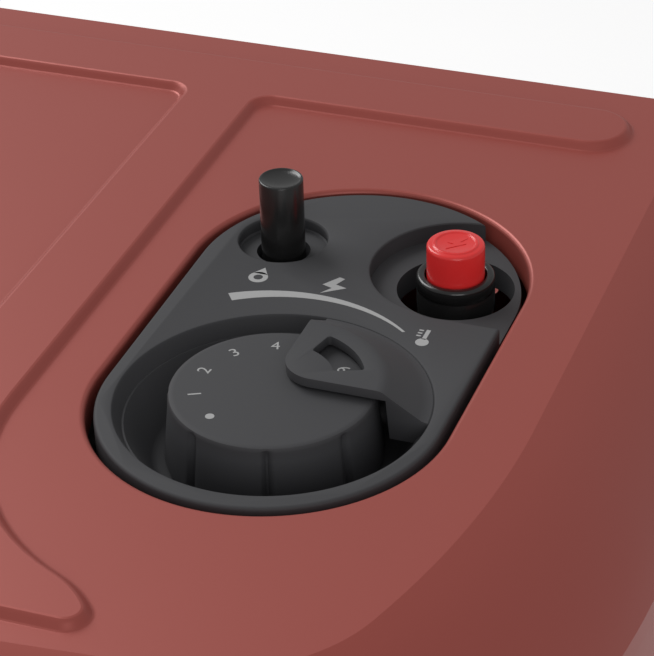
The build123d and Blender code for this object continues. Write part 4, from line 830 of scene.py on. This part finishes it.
    def knob(self) -> bpy.types.Object:
        """Models the knob with its grip grooves."""
        x, y = self.knob_axis
        top, foot = self.top + self.knob_proud, self.top - self.dish_depth + 1
        count = 320
        pitch = 360 / self.groove_count
        levels = [(self.knob_radius - 1.5, top, 0), (self.knob_radius - 0.7, top - 0.08, 0),
                  (self.knob_radius - 0.25, top - 0.3, 0), (self.knob_radius, top - 0.75, 0.15),
                  (self.knob_radius + 0.04, top - 1.3, 0.5), (self.knob_radius + 0.1, top - 2.2, 0.85),
                  (self.knob_radius + 0.2, top - 3.6, 1.0), (self.knob_skirt, foot + 0.5, 1.0),
                  (self.knob_skirt - 0.3, foot, 1.0)]
        rows = []
        for radius, z, depth in levels:
            row = []
            for k in range(count):
                angle = math.tau * k / count
                away = (math.degrees(angle) - self.groove_start + pitch / 2) % pitch - pitch / 2
                across = math.radians(away) * radius
                cut = depth * self.groove_depth * math.exp(-(across ** 2) * self.groove_spread)
                row.append((x + (radius - cut) * math.cos(angle), y + (radius - cut) * math.sin(angle), z))
            rows.append(row)
        mesh = Loops("knob_shell")
        loops = mesh.wall(rows)
        mesh.cap(loops[0])
        mesh.cap(loops[-1])
        return mesh.done(30)

    def pilot_button(self) -> bpy.types.Object:
        """Models the tall pilot button with its dished top."""
        high = self.top + self.pilot_height
        profile = [(0.4, high - 0.75), (1.6, high - 0.72), (3.0, high - 0.58), (4.2, high - 0.35),
                   (4.75, high - 0.16), (4.95, high - 0.02), (5.15, high), (5.38, high - 0.1),
                   (self.pilot_radius, high - 0.34), (self.pilot_radius, self.top - 11)]
        return lathe("pilot_button_shell", self.at(*self.pilot), profile, 72, smooth=40)

    def igniter_collar(self) -> bpy.types.Object:
        """Models the glossy collar round the red cap, down to the bracket."""
        z, low = self.top, self.top - 34
        profile = [(7.5, z - 20), (7.5, z - 0.5), (7.65, z - 0.15), (8.0, z), (8.7, z)]
        outer = self.collar_radius
        profile += rounded(outer, z, 0.9)[1:]
        profile += [(outer, z - 3.4), (outer - 0.15, z - 3.6), (outer - 0.15, z - 4.0), (outer, z - 4.2),
                    (outer, low + 3), (self.nut_radius, low + 3), (self.nut_radius, low), (8.0, low),
                    (8.0, low - 28)]
        return lathe("igniter_collar", self.at(*self.igniter), profile, 96, smooth=40)

    def igniter_cap(self) -> bpy.types.Object:
        """Models the red cap with its raised ring."""
        z = self.top + self.cap_height
        profile = [(0.3, z), (4.55, z), (4.7, z + 0.06), (4.8, z + 0.2), (5.0, z + 0.28), (5.3, z + 0.28),
                   (5.5, z + 0.2), (5.6, z + 0.06), (5.75, z)]
        profile += rounded(7.1, z, 0.9, 6)[1:] + [(7.1, self.top - 11.5)]
        return lathe("igniter_cap_shell", self.at(*self.igniter), profile, 96, smooth=40)


def soften(outline: list[Flat], radius: float) -> list[Flat]:
    """Rounds the sharp corners of a closed outline by a few quadratic steps."""
    result = []
    count = len(outline)
    for k, point in enumerate(outline):
        before, after = Vector(outline[k - 1]), Vector(outline[(k + 1) % count])
        here = Vector(point)
        if (here - before).angle(after - here) < math.radians(35):
            result.append(point)
            continue
        start = here + (before - here).normalized() * min(radius, (before - here).length * 0.9)
        end = here + (after - here).normalized() * min(radius, (after - here).length * 0.9)
        for step in range(6):
            t = step / 5
            spot = start * (1 - t) ** 2 + here * 2 * t * (1 - t) + end * t**2
            result.append((spot.x, spot.y))
    return result


# Printed marks


@dataclass
class Marks:
    """Numbers on the knob, and the bolt, flame, thermometer and arc on the bezel."""

    controls: Controls
    lift: float = 0.04
    number_radius: float = 17.4
    number_height: float = 3.3
    first_angle: float = 205.5
    step_angle: float = 32.4

    def flat(self, name: str, outline: list[Flat], z: float) -> bpy.types.Object:
        """Thin flat sign on an outline given from the opening's centre."""
        spots = [self.controls.at(px, py) for px, py in outline]
        return prism(name, spots, z - 0.02, z + self.lift)

    def numbers(self) -> bpy.types.Object:
        """Models the numbers one to six and the off dot on the knob's top."""
        x, y = self.controls.knob_axis
        z = self.controls.top + self.controls.knob_proud
        pieces = []
        for number in range(1, 7):
            angle = self.first_angle - (number - 1) * self.step_angle
            deselect()
            bpy.ops.object.text_add()
            text = bpy.context.object
            text.data.body = str(number)
            text.data.size = self.number_height * 1.35 * MM
            text.data.align_x = "CENTER"
            text.data.align_y = "CENTER"
            text.data.extrude = self.lift / 2 * MM
            bpy.ops.object.convert(target="MESH")
            piece = bpy.context.object
            spot = Vector((x + self.number_radius * math.cos(math.radians(angle)),
                           y + self.number_radius * math.sin(math.radians(angle)), z + self.lift / 2)) * MM
            piece.data.transform(Matrix.Translation(spot) @ Matrix.Rotation(math.radians(angle - 90), 4, "Z"))
            pieces.append(piece)
        dot = math.radians(self.first_angle + self.step_angle)
        place = (x + self.number_radius * math.cos(dot), y + self.number_radius * math.sin(dot))
        pieces.append(lathe("off_dot", place, [(1.05, z - 0.01), (1.05, z + self.lift)], 32))
        piece = join(pieces)
        piece.name = "knob_numbers"
        return piece

    def signs(self) -> bpy.types.Object:
        """Models the arc bar, bolt, flame and thermometer on the bezel."""
        z = self.controls.top
        outer = arc((-6.0, -21.24), 39.0, 121.9, 49.3, 24)
        inner = arc((-3.6, -21.5), 37.1, 52.8, 124.4, 24)
        pieces = [self.flat("heat_arc", outer + inner, z)]
        bolt = [(-3.4, 26.8), (-1.9, 26.4), (-3.15, 23.4), (-0.2, 22.5), (-5.6, 18.6), (-3.6, 21.6),
                (-6.3, 22.5)]
        pieces.append(self.flat("bolt_sign", bolt, z))
        mesh = Loops("flame_ring")
        flame = (-22.4, 21.0)
        rings = [ring(self.controls.at(*flame), r, z + dz, 40)
                 for r, dz in ((2.4, 0.0), (2.4, self.lift), (1.15, self.lift), (1.15, 0.0))]
        mesh.wall(rings + rings[:1])
        pieces.append(mesh.done())
        tip = [(-24.2, 22.6), (-22.3, 25.6), (-20.6, 22.6)]
        pieces.append(self.flat("flame_tip", tip, z))
        pieces.append(self.flat("bulb", arc((24.6, 5.25), 1.6, 0, 345, 23), z))
        pieces.append(self.flat("bulb_stem", [(24.1, 6.5), (25.1, 6.5), (25.1, 10.7), (24.1, 10.7)], z))
        for k in range(3):
            low = 7.5 + k * 1.2
            tick = [(22.4, low), (23.5, low), (23.5, low + 0.5), (22.4, low + 0.5)]
            pieces.append(self.flat("bulb_tick", tick, z))
        piece = join(pieces)
        piece.name = "bezel_signs"
        return piece

    def cap_bolt(self) -> bpy.types.Object:
        """Models the small raised bolt on the red cap."""
        x, y = self.controls.igniter
        bolt = [(1.2, 3.2), (2.2, 2.9), (0.9, 0.7), (2.6, 0.3), (-1.6, -3.3), (-0.3, -0.6), (-2.0, -0.2)]
        z = self.controls.top + self.controls.cap_height + 0.06
        return self.flat("cap_bolt", [(x + px, y + py) for px, py in bolt], z)


# Studio


@dataclass
class Studio:
    """Camera solved from the photograph, pale floor and soft lamps."""

    aim: tuple[float, float, float] = (145.39, -50.594, 752.0)
    azimuth: float = 20.847
    elevation: float = 32.471
    roll: float = -1.768
    distance: float = 616.9
    lens: float = 143.87

    def camera(self) -> None:
        """Creates the camera."""
        azimuth, elevation = math.radians(self.azimuth), math.radians(self.elevation)
        back = Vector((math.sin(azimuth) * math.cos(elevation), -math.cos(azimuth) * math.cos(elevation),
                       math.sin(elevation)))
        right = Vector((math.cos(azimuth), math.sin(azimuth), 0))
        up = back.cross(right)
        roll = math.radians(self.roll)
        across = right * math.cos(roll) + up * math.sin(roll)
        upright = up * math.cos(roll) - right * math.sin(roll)
        data = bpy.data.cameras.new("view")
        data.lens = self.lens
        data.clip_start, data.clip_end = 0.05, 50.0
        camera = bpy.data.objects.new("view", data)
        bpy.context.scene.collection.objects.link(camera)
        turn = Matrix((across, upright, back)).transposed().to_4x4()
        camera.matrix_world = Matrix.Translation(Vector(self.aim) * MM + back * self.distance * MM) @ turn
        bpy.context.scene.camera = camera

    def floor(self) -> None:
        """Lays the pale floor, which shows white to the camera and in reflections."""
        deselect()
        bpy.ops.mesh.primitive_plane_add(size=12.0)
        floor = bpy.context.object
        floor.name = "floor"
        material = bpy.data.materials.new("pale_floor")
        material.use_nodes = True
        material.node_tree.nodes.clear()
        nodes = Nodes(material.node_tree)
        path = nodes.add("ShaderNodeLightPath")
        matt = nodes.add("ShaderNodeBsdfDiffuse", Color=(0.82, 0.82, 0.82, 1.0))
        glow = nodes.add("ShaderNodeEmission", Color=(1.0, 1.0, 1.0, 1.0), Strength=0.35)
        both = nodes.add("ShaderNodeAddShader")
        nodes.link(matt.outputs["BSDF"], both.inputs[0])
        nodes.link(glow.outputs["Emission"], both.inputs[1])
        choose = nodes.add("ShaderNodeMixShader")
        nodes.link(path.outputs["Is Camera Ray"], choose.inputs["Fac"])
        nodes.link(matt.outputs["BSDF"], choose.inputs[1])
        nodes.link(both.outputs["Shader"], choose.inputs[2])
        out = nodes.add("ShaderNodeOutputMaterial")
        nodes.link(choose.outputs["Shader"], out.inputs["Surface"])
        floor.data.materials.append(material)

    def world(self) -> None:
        """Sets an even white sky."""
        world = bpy.data.worlds.new("soft_sky")
        bpy.context.scene.world = world
        world.use_nodes = True
        world.node_tree.nodes.clear()
        nodes = Nodes(world.node_tree)
        path = nodes.add("ShaderNodeLightPath")
        seen = nodes.add("ShaderNodeBackground", Color=(1.0, 1.0, 1.0, 1.0), Strength=1.0)
        light = nodes.add("ShaderNodeBackground", Color=(1.0, 1.0, 1.0, 1.0), Strength=0.45)
        choose = nodes.add("ShaderNodeMixShader")
        nodes.link(path.outputs["Is Camera Ray"], choose.inputs["Fac"])
        nodes.link(light.outputs["Background"], choose.inputs[1])
        nodes.link(seen.outputs["Background"], choose.inputs[2])
        out = nodes.add("ShaderNodeOutputWorld")
        nodes.link(choose.outputs["Shader"], out.inputs["Surface"])

    def lamp(self, name: str, place: Point, aim: Point, size: float, power: float) -> None:
        """Adds one soft square lamp.

        Args:
            name: name of the lamp.
            place: where it stands, in metres.
            aim: where it points, in metres.
            size: side of its face, in metres.
            power: strength in watts.
        """
        data = bpy.data.lights.new(name, "AREA")
        data.size = size
        data.energy = power
        lamp = bpy.data.objects.new(name, data)
        bpy.context.scene.collection.objects.link(lamp)
        lamp.location = place
        lamp.rotation_euler = (Vector(aim) - Vector(place)).to_track_quat("-Z", "Y").to_euler()

    def build(self) -> None:
        """Sets up the view, the floor and the light."""
        scene = bpy.context.scene
        scene.view_settings.view_transform = "Standard"
        self.camera()
        self.floor()
        self.world()
        self.lamp("key", (-1.6, 0.9, 2.4), (0.1, 0.0, 0.7), 1.4, 34.0)
        self.lamp("fill", (1.2, -2.4, 1.6), (0.1, 0.0, 0.6), 1.6, 16.0)


def dress_nodes(frame: dict) -> None:
    """Gives every node of the construction the finish of its slot."""
    slots = {entry["node"]: entry["material_slot"] for entry in frame["record"]["subparts"]}
    for name, node in frame["nodes"].items():
        node.data.materials.clear()
        node.data.materials.append(SLOT_FINISHES[slots[name]].material())


def main() -> None:
    """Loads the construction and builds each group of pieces."""
    logging.basicConfig(level=logging.INFO, format="%(name)s: %(message)s")
    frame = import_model()
    dress_nodes(frame)
    Studio().build()
    place_piece(PressedTop().build(), RED_ENAMEL, Body.CABINET, ("top_panel",))
    controls = Controls()
    place_piece(controls.bezel(), GRAINED, Body.CABINET, ("control_bezel",))
    place_piece(controls.knob(), GRAINED, Body.KNOB, ("control_knob",))
    place_piece(controls.pilot_button(), GLOSS_BLACK, Body.PILOT, ("pilot_button",))
    place_piece(controls.igniter_collar(), GLOSS_BLACK, Body.CABINET, ("igniter_body",))
    place_piece(controls.igniter_cap(), GLOSS_RED, Body.IGNITER, ("igniter_cap",))
    marks = Marks(controls)
    place_piece(marks.numbers(), PRINT, Body.KNOB)
    place_piece(marks.signs(), PRINT, Body.CABINET)
    place_piece(marks.cap_bolt(), GLOSS_RED, Body.IGNITER)


if __name__ == "__main__":
    main()
